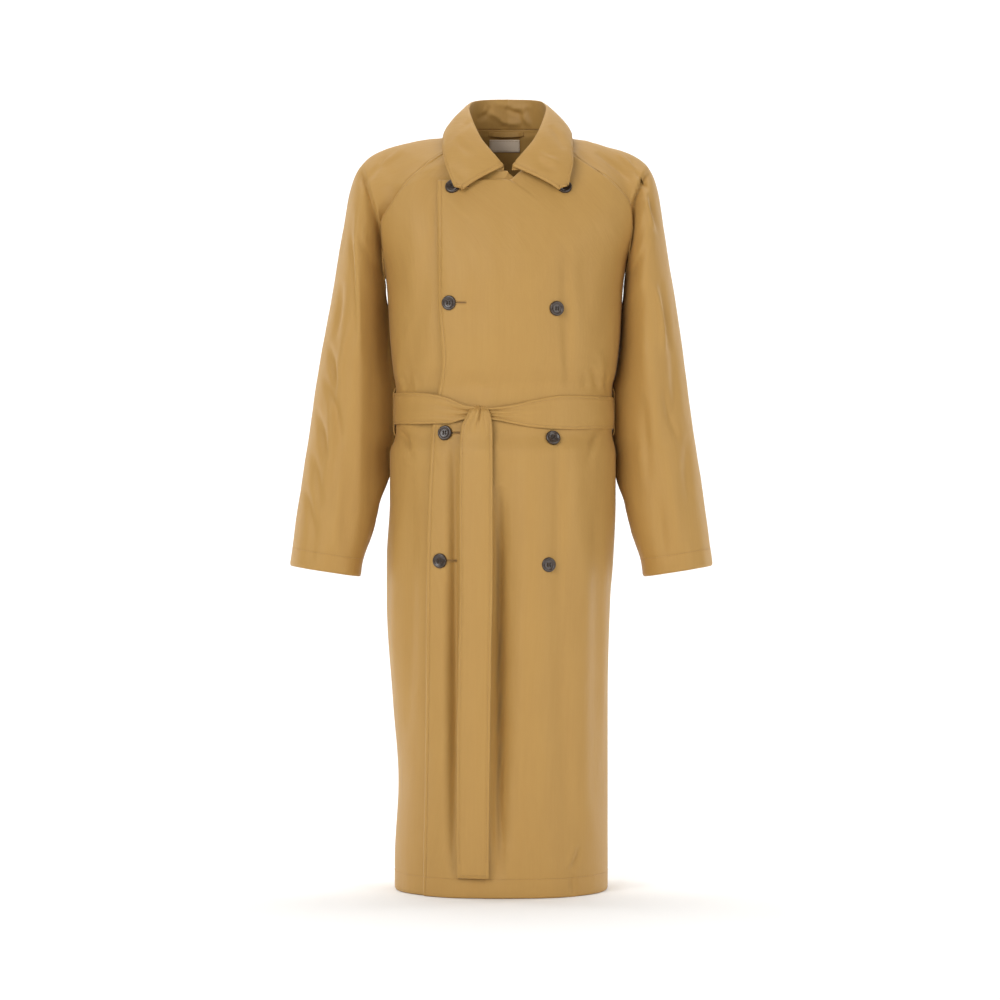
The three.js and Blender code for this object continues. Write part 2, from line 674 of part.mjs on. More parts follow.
function makeStand() {
  const rows = [[], [], []];
  const places = collarPlaces();
  places.forEach(({ side, turn, out, fold }, c) => {
    const before = places[Math.max(c - 1, 0)].fold;
    const along = places[Math.min(c + 1, places.length - 1)].fold.clone().sub(before).normalize();
    const seam = neckPoint(side, turn);
    const down = seam.clone().sub(fold);
    down.addScaledVector(along, -down.dot(along)).normalize();
    const top = fold.clone().addScaledVector(out, CLOTH);
    top.addScaledVector(down, CLOTH + SEAM + COLLAR_ROLL.slack);
    seam.z += SEAM + COLLAR_ROLL.slack;
    rows[0].push(top);
    rows[1].push(top.clone().lerp(seam, 0.5));
    rows[2].push(seam);
  });
  wall("collar_stand", rows, coatCloth);
}

function makeLeaf() {
  const curves = collarPlaces().map(({ side, turn, out, fold }) => {
    const edgeAt = (name) => column(leafEdge, "turn", turn, name);
    const edge = new THREE.Vector3(NECK.x + side * edgeAt(sideName(side)), edgeAt("y"), edgeAt("z"));
    const roll = fold.clone().addScaledVector(out, COLLAR_ROLL.out);
    roll.z += COLLAR_ROLL.up;
    const fall = edge.clone().addScaledVector(out, -COLLAR_ROLL.back);
    fall.z += COLLAR_ROLL.fall * (fold.z - edge.z);
    return new THREE.CubicBezierCurve3(fold, roll, fall, edge).getPoints(LEAF_STEPS);
  });
  const rows = [];
  for (let r = 0; r <= LEAF_STEPS; r += 1) rows.push(curves.map((points) => points[r]));
  wall("collar_leaf", rows, coatCloth);
}

// Point of a panel at x and z, between the panel's own grid points
function onPanel(grid, x, z) {
  const crossings = grid.map((row) => {
    let c = 0;
    while (c < row.length - 2 && row[c + 1].x < x) c += 1;
    return row[c].clone().lerp(row[c + 1], (x - row[c].x) / (row[c + 1].x - row[c].x));
  });
  let r = 0;
  while (r < crossings.length - 2 && crossings[r + 1].z > z) r += 1;
  const share = (z - crossings[r].z) / (crossings[r + 1].z - crossings[r].z);
  return crossings[r].lerp(crossings[r + 1], share);
}

// Strip of cloth that lies along a panel; place gives its x, z and distance out at each grid step
function strip(name, panel, behind, rows, columns, place, finish, cloth) {
  const grid = [];
  const normals = [];
  for (let r = 0; r <= rows; r += 1) {
    const places = [];
    for (let c = 0; c <= columns; c += 1) {
      const { x, z, off } = place(r / rows, c / columns);
      const point = onPanel(panel, x, z);
      const normal = trunkNormal(point, behind);
      places.push({ point: point.addScaledVector(normal, off), normal });
    }
    if (behind) places.reverse();
    grid.push(places.map((p) => p.point));
    normals.push(places.map((p) => p.normal));
  }
  return wall(name, grid, finish, { cloth: () => cloth, normals });
}

// Belt band: from the knot round the right side and the back to the knot again
function makeBelt() {
  const right = halfWidth(1, BELT.top, false);
  const left = halfWidth(-1, BELT.top, false);
  const stretches = [
    { from: KNOT.x + BELT.gap, to: right, steps: 14, behind: false },
    { from: right, to: -left, steps: BACK_COLUMNS, behind: true },
    { from: -left, to: KNOT.x - BELT.gap, steps: 9, behind: false },
  ];
  const rows = [[], [], []];
  const normals = [[], [], []];
  for (const [order, { from, to, steps, behind }] of stretches.entries()) {
    for (let s = order ? 1 : 0; s <= steps; s += 1) {
      rows.forEach((row, r) => {
        const flatX = alongSection(from, to, s / steps, BELT.top, behind);
        const edgeX = behind ? Math.sign(flatX) * right : flatX;
        const level = (name) => column(beltEdges, "x", edgeX, name);
        const settle = behind ? 1 - Math.abs(flatX) / right : 0;
        const upper = lerp(level("top"), BELT.top, smooth(settle, 0, 1));
        const lower = lerp(level("bottom"), BELT.bottom, smooth(settle, 0, 1));
        const z = lerp(upper, lower, r / 2);
        const x = alongSection(from, to, s / steps, z, behind);
        const point = trunkPoint(x, z, behind, BELT.clear + CLOTH);
        row.push(point);
        normals[r].push(trunkNormal(point, behind));
      });
    }
  }
  wall("belt_band", rows, coatCloth, { normals });
}

// Knot: a flattened pillow of folded cloth, squarer than a ball
function makeKnot() {
  const geometry = new THREE.SphereGeometry(1, 18, 10);
  const positions = geometry.getAttribute("position");
  const squarer = (v) => Math.sign(v) * Math.abs(v) ** KNOT.squareness;
  for (let i = 0; i < positions.count; i += 1) {
    const x = squarer(positions.getX(i)) * KNOT.halfWidth;
    const y = squarer(positions.getZ(i)) * KNOT.halfDepth;
    const z = squarer(positions.getY(i)) * KNOT.halfHeight;
    positions.setXYZ(i, x, -y, z + KNOT.slant * x);
  }
  const mesh = new THREE.Mesh(geometry, new THREE.MeshStandardMaterial(coatCloth));
  const beltFace = BELT.clear + CLOTH + 2 * SEAM;
  mesh.position.set(KNOT.x, trunkY(KNOT.x, KNOT.z, false) - beltFace - KNOT.halfDepth, KNOT.z);
  mesh.name = "belt_knot";
  coat.add(mesh);
}

// Hanging end of the belt, in front of the skirt
function makeTail(name, bottom, off) {
  const rows = [];
  for (let r = 0; r <= TAIL_STEPS.rows; r += 1) {
    const z = lerp(TAIL.top, bottom, r / TAIL_STEPS.rows);
    const row = [];
    for (let c = 0; c <= TAIL_STEPS.columns; c += 1) {
      const across = 2 * (c / TAIL_STEPS.columns) - 1;
      const x = column(tailPath, "z", z, "x") + (across * TAIL.width) / 2;
      const bow = TAIL.bow * across * across;
      const y = trunkY(x, z, false) - column(tailPath, "z", z, "off") - off + bow;
      row.push(new THREE.Vector3(x, y, z));
    }
    rows.push(row);
  }
  wall(name, rows, coatCloth);
}

// Carrier that holds the belt at a side seam
function makeCarrier(side) {
  const rows = [];
  for (const { z, off } of carrierPath) {
    const x = side * (halfWidth(side, z, false) + off + CLOTH);
    const ends = [-CARRIER_HALF_WIDTH, CARRIER_HALF_WIDTH];
    if (side < 0) ends.reverse();
    rows.push(ends.map((y) => new THREE.Vector3(x, y, z)));
  }
  wall(`belt_loop_${sideName(side)}`, rows, coatCloth);
}

// Solid of a mesh's geometry, for the button's holes
function solid(geometry) {
  const bare = geometry.clone();
  bare.deleteAttribute("normal");
  bare.deleteAttribute("uv");
  const merged = mergeVertices(bare);
  const vertProperties = new Float32Array(merged.getAttribute("position").array);
  const triVerts = new Uint32Array(merged.index.array);
  return new wasm.Manifold(new wasm.Mesh({ numProp: 3, vertProperties, triVerts }));
}

// Four-hole button with a raised rim, its back on the plane y = 0
function buttonGeometry() {
  const rim = BUTTON.radius - BUTTON.rim;
  const floor = BUTTON.height - BUTTON.well;
  const profile = [
    [0, 0],
    [BUTTON.radius, 0],
    [BUTTON.radius, floor],
    [BUTTON.radius - BUTTON.rim / 2, BUTTON.height],
    [rim - BUTTON.rim / 2, floor],
    [0, floor],
  ];
  const points = profile.map(([x, y]) => new THREE.Vector2(x, y));
  let button = solid(new THREE.LatheGeometry(points, BUTTON.segments));
  for (const turn of [45, 135, 225, 315]) {
    const hole = new THREE.CylinderGeometry(BUTTON.hole, BUTTON.hole, BUTTON.height * 3, 6);
    const x = Math.cos(radians(turn)) * BUTTON.spacing;
    hole.translate(x, 0, Math.sin(radians(turn)) * BUTTON.spacing);
    button = button.subtract(solid(hole));
  }
  const { vertProperties, triVerts } = button.getMesh();
  const geometry = new THREE.BufferGeometry();
  geometry.setAttribute("position", new THREE.Float32BufferAttribute(vertProperties, 3));
  geometry.setIndex(new THREE.Uint32BufferAttribute(triVerts, 1));
  geometry.computeVertexNormals();
  return geometry;
}

// How far a flat back must rise along the outward direction to clear the panel under it
function seatRise(panel, centre, out, radius) {
  let rise = 0;
  for (let turn = 0; turn < 360; turn += 30) {
    for (const reach of [radius / 2, radius]) {
      const x = centre.x + reach * Math.cos(radians(turn));
      const z = centre.z + reach * Math.sin(radians(turn));
      rise = Math.max(rise, onPanel(panel, x, z).sub(centre).dot(out));
    }
  }
  return rise;
}

function makeButtons(panel) {
  const geometry = buttonGeometry();
  buttonRows.forEach((row, i) => {
    for (const side of ["left", "right"]) {
      const point = onPanel(panel, row[`${side}X`], row[`${side}Z`]);
      const out = trunkNormal(point, false);
      const mesh = new THREE.Mesh(geometry, new THREE.MeshStandardMaterial(hornPlastic));
      const rise = seatRise(panel, point, out, BUTTON.radius);
      mesh.position.copy(point.addScaledVector(out, rise + SEAM));
      mesh.quaternion.setFromUnitVectors(new THREE.Vector3(0, 1, 0), out);
      mesh.name = `button_${i + 1}_${side}`;
      coat.add(mesh);
    }
  });
}

// Bare label inside the back, and the loop that the coat hangs by
function makeNeckTrim(back) {
  const inside = -CLOTH - SEAM;
  const labelPlace = (down, across) => ({
    x: lerp(LABEL.left, LABEL.right, across),
    z: lerp(LABEL.top, LABEL.bottom, down),
    off: inside,
  });
  strip("label", back, true, 2, 6, labelPlace, labelCloth, LABEL.cloth);
  const hangerPlace = (down, across) => {
    const x = lerp(HANGER.left, HANGER.right, across);
    const root = Math.min(x - HANGER.left, HANGER.right - x);
    const z = HANGER.z + lerp(HANGER.halfHeight, -HANGER.halfHeight, down);
    return { x, z, off: inside - HANGER.stand * smooth(root, 0, HANGER.roots) };
  };
  strip("hanger_loop", back, true, 1, 12, hangerPlace, coatCloth, HANGER.cloth);
}

const backPanel = makeBack();
const overFront = makeOverFront();
makeUnderFront();
for (const side of [-1, 1]) makeSleeve(side);
makeStand();
makeLeaf();
makeBelt();
makeKnot();
makeTail("belt_tail_front", TAIL.frontBottom, CLOTH + SEAM + TAIL.apart);
makeTail("belt_tail_back", TAIL.backBottom, 0);
for (const side of [-1, 1]) makeCarrier(side);
makeButtons(overFront);
makeNeckTrim(backPanel);

export default coat;
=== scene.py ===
import math

import bpy
import numpy as np
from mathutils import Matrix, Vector


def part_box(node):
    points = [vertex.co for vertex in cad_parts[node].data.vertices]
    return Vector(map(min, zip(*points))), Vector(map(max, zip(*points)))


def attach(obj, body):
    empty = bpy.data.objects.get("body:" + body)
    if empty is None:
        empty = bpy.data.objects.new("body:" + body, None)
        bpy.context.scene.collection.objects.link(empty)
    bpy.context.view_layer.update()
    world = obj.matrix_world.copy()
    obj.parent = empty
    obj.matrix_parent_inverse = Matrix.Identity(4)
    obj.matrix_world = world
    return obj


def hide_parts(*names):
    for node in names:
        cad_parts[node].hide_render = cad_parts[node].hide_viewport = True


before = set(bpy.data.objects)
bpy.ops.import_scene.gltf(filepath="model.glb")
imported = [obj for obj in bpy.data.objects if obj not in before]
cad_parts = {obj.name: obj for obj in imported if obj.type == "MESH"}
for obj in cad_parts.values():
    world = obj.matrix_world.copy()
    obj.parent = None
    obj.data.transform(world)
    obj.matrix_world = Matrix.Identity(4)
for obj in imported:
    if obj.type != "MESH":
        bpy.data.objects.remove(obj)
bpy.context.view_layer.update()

bl_info = {
    "name": "Trench coat",
    "version": (1, 0, 0),
    "blender": (4, 5, 0),
    "location": "3D View > Sidebar > Coat",
    "description": "Builds a double-breasted trench coat with raglan sleeves and a tied belt",
    "category": "Object",
}

# Everything is worked out in millimetres: +Z up, the front faces -Y, +X on the right from the front
MM = 0.001

# Cloth and seams
SEAM = 0.3
SIDE_SEAM_CALM = 12
HEM_DEPTH = 30
HEM_EXTRA = 0.8
CUFF_DEPTH = 28
TOP_STITCH = 7
COLLAR_STITCH = 6
BELT_STITCH = 4.5
CARRIER_STITCH = 1.6
LABEL_STITCH = {"inset": 2, "pitch": 2.4, "length": 1.8, "radius": 0.25}
STITCH_SHARE = 0.75

# How sewing sinks cloth: an edge rolls into its seam, thread pulls a dip, and cloth beside it puckers
SEWING = {"roll": 1.1, "roll_width": 1.6, "dip": 0.65, "dip_width": 1.7, "pucker": 0.3, "pucker_width": 8}

# Steps across each grid of cloth, and seeds of the cloths' unevenness
COLUMNS = {"back": 150, "over": 120, "under": 110, "sleeve": 120, "leaf": 44, "collar": 240}
SEEDS = {"front": 3, "back": 7, "sleeve": 11, "collar": 21, "belt_back": 5, "belt_front": 6}

# Levels on the trunk
UNDERARM_Z = -237
HEM_Z = -1210

# Neck seam: an oval that is low in front and high behind
NECK = {"x": 6, "half_width": 75, "y": -7.5, "half_depth": 87.5, "side": 2, "tilt": 43, "dip": 19}

# Turns round the neck at which the raglan seams start, how fast the neck's pull on the panels below
# it fades, and how wide the notch of the over front is
FRONT_RAGLAN_TURN = 75
BACK_RAGLAN_TURN = 115
NECK_REACH = 2.6
NOTCH_WIDTH = 26

# How full the trunk's sections are: 2 is an ellipse, more is squarer
FULLNESS = 2.3


def table(names, *rows):
    """Columns by name of a table of drawn values, sorted by its first column."""
    ordered = np.array(sorted(rows), float)
    return dict(zip(names.split(), ordered.T))


# Half widths and depths of the trunk at each height; spread widens the back only
TRUNK = table(
    "z left right front back spread",
    (14, 66, 78, 42, 84, 4),
    (-10, 74, 88, 62, 90, 38),
    (-32, 146, 160, 84, 98, 8),
    (-73, 212, 224, 101, 110, -6),
    (-112, 225, 232, 119, 120, -4),
    (-142, 220, 226, 131, 126, 0),
    (-199, 197, 200, 146, 134, 0),
    (-237, 190, 193, 150, 137, 0),
    (-319, 185, 188, 149, 136, 0),
    (-372, 180, 182, 142, 128, 0),
    (-406, 175, 175, 131, 117, 0),
    (-474, 175, 175, 131, 117, 0),
    (-508, 185, 181, 142, 128, 0),
    (-583, 185, 181, 147, 133, 0),
    (-680, 190, 177, 149, 135, 0),
    (-745, 190, 172, 149, 136, 0),
    (-907, 180, 168, 150, 137, 0),
    (-1037, 171, 168, 150, 138, 0),
    (-1166, 177, 168, 150, 138, 0),
    (-1210, 177, 168, 150, 138, 0),
)

# Raglan seams from neck (at 0) to underarm (at 1), and the shoulder line above them
FRONT_RAGLAN = table(
    "at left right z",
    (0, 66, 78, -10),
    (0.15, 102, 116, -32),
    (0.38, 154, 172, -75),
    (0.55, 181, 203, -112),
    (0.68, 197, 206, -142),
    (0.85, 194.5, 198, -199),
    (1, 190, 193, -237),
)
BACK_RAGLAN = table(
    "at left right z",
    (0, 62, 74, 17),
    (0.15, 92, 104, -12),
    (0.38, 138, 148, -52),
    (0.55, 170, 180, -94),
    (0.68, 190, 196, -136),
    (0.85, 194.5, 197.5, -196),
    (1, 190, 193, -237),
)
SHOULDER = table(
    "at left right z",
    (0, 69, 81, 5),
    (0.15, 118, 122, 2),
    (0.38, 168, 160, -8),
    (0.55, 210, 203, -22),
    (0.68, 234, 233, -44),
    (0.85, 249, 248, -80),
    (1, 259, 257, -130),
)

# Sleeve rings below the underarm: ends of each ring's slanting width, its middle and its depth
RINGS = table(
    "ring inner_left inner_right inner_z outer_left outer_right outer_z y depth",
    (0, 193, 196, -262, 267, 264, -172, 2, 84),
    (1, 191, 194, -300, 275, 272, -222, 5, 83),
    (2, 189, 192, -345, 285, 281, -280, 8, 80),
    (3, 188, 189, -400, 297, 290, -345, 8, 77),
    (4, 189, 188, -455, 307, 299, -412, 6, 74),
    (5, 192, 189, -510, 317, 308, -478, 3, 70),
    (6, 199, 193, -570, 328, 318, -548, -1, 66),
    (7, 213, 206, -635, 338, 327, -615, -5, 62),
    (8, 231, 224, -692, 345, 335, -674, -8, 59),
    (8.2, 232, 225, -706, 347, 337, -688, -8, 58),
)

# How the sleeve's cloth leaves the raglan seams: straight over the shoulder near the neck,
# swung forward and back into a round sleeve towards the underarm
SWING = {"from": 0.45, "pull": 0.36, "out": 14, "lift": 0.5}
ROUND = 4 / 3
SHOULDER_Y = 4

# Outer edge of the over front from top to hem, and how the under front dips below it
OVER_TOP_Z = -73
OVER_EDGE = table(
    "z x",
    (-73, -106),
    (-254, -107),
    (-360, -99),
    (-473, -116),
    (-678, -123),
    (-980, -126),
    (-1210, -130),
)
LAP = {"drop": 4.5, "run": 40, "margin": 4, "highest": -52, "lowest": -66, "columns": 0.62, "reach": 0.6}
TUCK = {"depth": 5, "highest": -88, "lowest": -125, "settled": 0.5, "top_x": 44, "slope": 0.6}

# Main creases as soft valleys: ends (x, z), half width, depth (a ridge where negative) and sideways bow
FRONT_CREASES = (
    (-110, -150, -152, -394, 17, 4.5, 4),
    (98, -165, 100, -405, 9, 4, 0),
    (88, -318, 94, -408, 5, -1.8, 0),
    (-110, -98, -106, -402, 7, 3.2, 0),
    (-164, -382, -152, -409, 4, 3.5, 0),
    (-153, -372, -145, -412, 4, 3, 2),
    (-170, -350, -160, -408, 6, -2.5, 3),
    (-138, -386, -134, -412, 4, 1.8, 0),
    (140, -372, 150, -409, 4, 3, 0),
    (150, -345, 158, -408, 6, -2.2, -3),
    (162, -375, 164, -411, 3.5, 3, 0),
    (126, -380, 130, -410, 4, 1.6, 0),
    (182, -165, 108, -245, 20, 2.6, 5),
    (-196, -190, -150, -300, 16, 2.2, -6),
    (190, -230, 150, -345, 14, 2, 5),
    (-62, -392, -20, -410, 8, 1.6, 0),
    (-9, -560, -9, -1180, 9, 31, 0),
    (3, -520, 3, -1130, 19, 12, 0),
    (-80, -490, -79, -1174, 8, 15, 0),
    (-86, -700, -84, -1150, 9, 7, 0),
    (84, -475, 88, -770, 8, 3.2, 0),
    (112, -485, 116, -700, 15, -2.6, 0),
    (48, -485, 58, -900, 22, -2.8, 0),
    (95, -760, 103, -1160, 19, 5, 3),
    (136, -640, 134, -1130, 18, -3, 0),
    (-152, -530, -158, -985, 11, 5, -5),
    (-170, -590, -172, -960, 8, -3.4, 6),
    (150, -560, 142, -1080, 12, 4.5, 0),
    (163, -600, 158, -1000, 7, -2.6, 0),
    (30, -520, 24, -1190, 13, -1.6, 0),
    (-171, -466, -150, -498, 4, 4.5, 0),
    (-158, -472, -146, -520, 5, 3, 3),
    (158, -466, 136, -498, 4, 4.5, 0),
    (146, -476, 130, -524, 5, 3, -3),
    (96, -1168, 116, -1128, 4, -3.2, 2),
    (104, -1170, 121, -1132, 4, 3.2, 2),
    (108, -1176, 110, -1209, 4, 3.4, 0),
    (-20, -1150, -14, -1196, 7, 3, 0),
)
BACK_CREASES = (
    (-120, -150, -106, -395, 18, 5.5, 6),
    (118, -165, 108, -395, 16, 5.5, -5),
    (-60, -180, 40, -205, 20, 2.4, -8),
    (10, -250, 14, -398, 14, 2.4, 4),
    (-48, -330, -40, -410, 8, 3, 2),
    (-78, -352, -66, -412, 6, 3.2, -2),
    (58, -340, 50, -411, 7, 3, 2),
    (86, -365, 78, -412, 5, 2.6, 0),
    (-140, -360, -128, -410, 6, 3, 0),
    (142, -350, 134, -410, 6, 3, 0),
    (-96, -480, -110, -1100, 16, 8.5, 5),
    (-24, -490, -18, -1160, 13, 7.5, -4),
    (52, -480, 62, -1060, 15, 8.5, 4),
    (122, -500, 130, -1140, 14, 7.5, -4),
    (-140, -490, -150, -900, 10, 4, 3),
    (18, -476, 24, -640, 8, 3.6, 0),
    (92, -478, 96, -690, 8, 3.4, 2),
    (-58, -478, -62, -700, 9, 3.6, 0),
    (-70, -900, -60, -1190, 14, -3, 0),
    (90, -860, 98, -1180, 16, -3, 0),
)

# Creases of the sleeves' fronts and backs, by distance from the middle of the coat and height
SLEEVE_CREASES = {
    (-1, False): (
        (236, -115, 231, -360, 5, -5.5, -2),
        (246, -150, 238, -330, 4, 4.6, 3),
        (262, -230, 274, -330, 5, 5, 3),
        (250, -300, 266, -430, 6, -4.6, -4),
        (283, -330, 268, -420, 5, 5.5, 3),
        (292, -380, 262, -500, 6, 5.5, 7),
        (280, -410, 286, -560, 6, -5, 5),
        (306, -430, 282, -520, 5, 5, 3),
        (310, -500, 296, -600, 6, 4.6, 4),
        (262, -520, 270, -660, 9, -3.8, 0),
        (322, -560, 306, -640, 5, 4.2, 3),
        (190, -25, 225, -75, 5, 3.4, 2),
        (160, -14, 205, -46, 5, -2.8, 2),
        (300, -610, 312, -690, 8, 3.4, 0),
    ),
    (1, False): (
        (228, -98, 243, -150, 5, -5.5, 3),
        (233, -90, 251, -158, 5, 5.5, 3),
        (241, -240, 258, -350, 4.5, -5.5, -3),
        (249, -230, 266, -345, 5, 5, -3),
        (232, -330, 246, -500, 14, -5.5, 0),
        (268, -330, 274, -450, 7, 4.6, -4),
        (256, -400, 286, -500, 6, 4.2, 5),
        (222, -420, 232, -560, 9, 4.2, 0),
        (148, -22, 205, -70, 5, 3.6, -2),
        (176, -12, 222, -58, 4, -3.1, 2),
        (205, -30, 236, -92, 5, 3.6, 3),
        (118, -24, 160, -62, 6, 2.8, 0),
        (262, -500, 280, -660, 14, -3.8, 0),
        (296, -470, 300, -600, 7, 4.2, 4),
        (246, -580, 258, -680, 8, 3.4, 0),
    ),
    (-1, True): (
        (225, -180, 240, -330, 7, 5.5, -4),
        (262, -250, 236, -370, 6, 5.5, 5),
        (288, -340, 226, -420, 7, 5.5, 6),
        (292, -390, 236, -470, 6, 5.5, 5),
        (300, -440, 244, -520, 7, 5.5, 5),
        (250, -520, 268, -660, 9, -4.2, 0),
        (310, -520, 296, -660, 8, 4.2, 0),
    ),
    (1, True): (
        (222, -175, 238, -320, 7, 5.5, -4),
        (258, -240, 232, -355, 6, 5.5, 5),
        (280, -330, 222, -415, 7, 5.5, 6),
        (286, -380, 230, -460, 6, 5.5, 5),
        (292, -450, 240, -530, 7, 5.5, 5),
        (246, -520, 262, -660, 9, -4.2, 0),
        (302, -520, 290, -650, 8, 4.2, 0),
    ),
}

# The valley where the sleeve breaks away from the chest, from the shoulder's corner down
VALLEY = {"top": -38, "full": -70, "low": -165, "bottom": -195}
VALLEY_SHAPE = {"outer": 16, "inner": 2.4, "depth": 15, "forward": 28}
VALLEY_LINE = table(
    "z left right",
    (-45, 231, 236),
    (-101, 213, 210),
    (-130, 205, 205),
    (-151, 200, 203),
    (-199, 195, 198),
)

# Line down each sleeve's front where its cloth turns in towards the body, and how sharply
TURN_IN = table(
    "z left right sharp_left sharp_right slope_left slope_right",
    (-80, 232, 214, 4, 9, 0, 0),
    (-150, 229, 206, 4, 11, 0.7, 0.3),
    (-260, 228, 206, 4, 13, 1.1, 0.5),
    (-400, 228, 211, 4, 14, 1.1, 0.5),
    (-560, 230, 217, 5, 14, 0.8, 0.4),
    (-706, 231, 224, 6, 12, 0, 0),
)

# How far each sleeve's inner side is tucked in behind the body's side, and between which heights
TUCK_BEHIND = {"span": 34, "back": 24, "hidden": 0.5, "start": -236, "full": -280, "fade": -530, "end": -590}

# Collar: the fold line above the neck seam and the leaf's outer edge, from front (turn 5) to back
FOLD_LINE = table(
    "turn x y z",
    (5, 6.5, -99, -49),
    (15, 16, -98, -38),
    (40, 42, -80, -5),
    (62, 56, -50, 28),
    (85, 61.5, -14, 50),
    (120, 55, 32, 67),
    (150, 33, 62, 74),
    (180, 0, 73, 76),
)
LEAF_EDGE = table(
    "turn left right y z",
    (5, 73, 82, -118, -91),
    (15, 83, 94, -114, -86),
    (30, 94, 101, -104, -66),
    (46, 102, 105, -88, -42),
    (65, 106, 105, -58, -15),
    (90, 104, 103, -8, 9),
    (120, 90, 90, 52, 8),
    (150, 54, 54, 94, 0),
    (180, 0, 0, 104, -5),
)
COLLAR_START = 5
COLLAR_ROLL = {"out": 8, "up": 4, "back": 2, "fall": 0.35, "smoothing": 10}
STAND_SHAPE = {"above_seam": 0.9, "hollow": 1.5}

# How the leaf's front edge bows down, and how its tip is rounded off, with the turns where they fade
LEAF_SHAPE = {"belly": 6, "until": 34, "rounding": 6, "from": 0.72, "tip": 19}

# Belt: its upper and lower edges along the front, its level behind, and the knot's place
BELT = {"top": -413, "bottom": -467, "off": 2.5}
BELT_EDGES = table(
    "x top bottom",
    (-176, -410, -461),
    (-128, -413, -462),
    (-90, -421, -462),
    (-58, -434, -455),
    (-24, -438, -455),
    (14, -433, -462),
    (46, -425, -468),
    (101, -417, -471),
    (176, -417, -468),
)
# Pleats that run from the band to the knot: places across the band, and their size
BELT_PLEATS = {"reach": 58, "width": 0.08, "height": 3.6, "depth": 6.6}
PLEAT_PLACES = {"right": (0.24, 0.52, 0.78), "left": (0.36, 0.7)}
KNOT = {"x": -41, "top": -434, "over": 2.2}
# Pleats of the strap below the knot: place across, lean at the top, half width, depth and lower end
KNOT_PLEATS = (
    (0.02, 0.1, 0.07, 6.5, -482),
    (-0.55, 0.2, 0.1, 2.6, -500),
    (0.52, -0.1, 0.09, 2.8, -492),
    (0.8, -0.2, 0.08, 2, -540),
)
TAIL_PATH = table(
    "z x off half_width",
    (-434, -39, 8, 12),
    (-440, -40, 11, 16),
    (-450, -41, 12.5, 20),
    (-467, -44, 12.5, 24.5),
    (-500, -45, 10.5, 26),
    (-600, -45, 8.6, 26.5),
    (-800, -46, 6.8, 26),
    (-1000, -48, 6.8, 26),
    (-1178, -50, 6.8, 25.5),
)
TAIL_BOTTOM = {"front": -1178, "back": -1130}
TAIL_TOP = -472

# Label and hanging loop inside the back neck
LABEL = {"left": -24, "right": 26, "top": 10.5, "bottom": -8.5, "cloth": 0.8}
HANGER = {"left": -26, "right": 33, "z": 18.5, "half_height": 3.3, "cloth": 1.2, "stand": 4, "roots": 9}

# Belt carriers on the side seams: height and distance out of the trunk, down each carrier
CARRIER_HALF_WIDTH = 5
CARRIER_BOW = 0.04
CARRIER = table(
    "z off",
    (-402, 2.3),
    (-406, 3.8),
    (-409, 4.8),
    (-471, 4.8),
    (-475, 3.9),
    (-478, 2.5),
)

# Buttonholes: where each cut starts and ends past the button's middle, and the height of its worked rim; the
# dark rod along the cut is painted shade
HOLE = {"start": 3, "length": 27, "rim": 1.7}

# Studio, in metres: the floor's level in millimetres, the camera, and lights as place, aim, size, watts
FLOOR_Z = -1211
SWEEP = {"half_width": 3600, "front": -3600, "back": 1200, "radius": 1500, "height": 5000}
CAMERA_PLACE = (-0.0065, -5, -0.583)
LENS = {"lens": 111, "sensor_width": 36, "clip_end": 30}
WORLD_STRENGTH = 0.24
LIGHTS = {
    "key": ((-1.8, -3.2, 1.2), (0, 0, -0.55), (2.4, 2.6), 94),
    "fill": ((2.4, -2.6, 0.2), (0, 0, -0.6), (2, 3), 41),
    "rim_left": ((-1.9, 0.9, -0.3), (0, 0, -0.55), (0.7, 2.2), 16),
    "rim_right": ((1.9, 0.9, -0.3), (0, 0, -0.55), (0.7, 2.2), 16),
    "top": ((0, 0.3, 2.3), (0, 0, -0.3), (2.2, 1.6), 18),
    "backdrop": ((0, 1, 2.6), (0, 2.7, 0), (4, 1), 60),
}


# Shape of the coat, as functions of whole arrays


def column(rows, at, name):
    """Smooth value of a table's column at a place of its first column: monotone cubic, whose slope
    at a row is the harmonic mean of the rises beside it, or 0 where they differ in sign."""
    key, value = rows[next(iter(rows))], rows[name]
    rise = np.diff(value) / np.diff(key)
    before = np.append(rise[:1], rise)
    after = np.append(rise, rise[-1:])
    total = np.where(before * after > 0, before + after, 1)
    slope = np.where(before * after > 0, 2 * before * after / total, 0)
    at = np.clip(at, key[0], key[-1])
    i = np.clip(np.searchsorted(key, at) - 1, 0, len(key) - 2)
    span = key[i + 1] - key[i]
    t = (at - key[i]) / span
    ends = (1 + 2 * t) * (1 - t) ** 2 * value[i] + t * t * (3 - 2 * t) * value[i + 1]
    return ends + span * (t * (1 - t) ** 2 * slope[i] - t * t * (1 - t) * slope[i + 1])


def lerp(a, b, share):
    return a + (b - a) * share


def smooth(value, start, end):
    """0 up to start, 1 from end, and an S curve between; end may lie below start."""
    t = np.clip((value - start) / (end - start), 0, 1)
    return t * t * (3 - 2 * t)


def points_of(x, y, z):
    return np.stack(np.broadcast_arrays(np.asarray(x, float), y, z), -1)


def unit(vectors):
    return vectors / np.maximum(np.linalg.norm(vectors, axis=-1, keepdims=True), 1e-9)


def half_width(x, z, behind):
    """Half width of the trunk on the side where x lies, for its front or back."""
    width = np.where(np.asarray(x) < 0, column(TRUNK, z, "left"), column(TRUNK, z, "right"))
    return width + column(TRUNK, z, "spread") if behind else width


def trunk_y(x, z, behind):
    """Depth of the trunk's section at x: a superellipse, below 0 in front and above 0 behind."""
    across = np.minimum(np.abs(x) / half_width(x, z, behind), 1)
    y = column(TRUNK, z, "back" if behind else "front") * (1 - across**FULLNESS) ** (1 / FULLNESS)
    return y if behind else -y


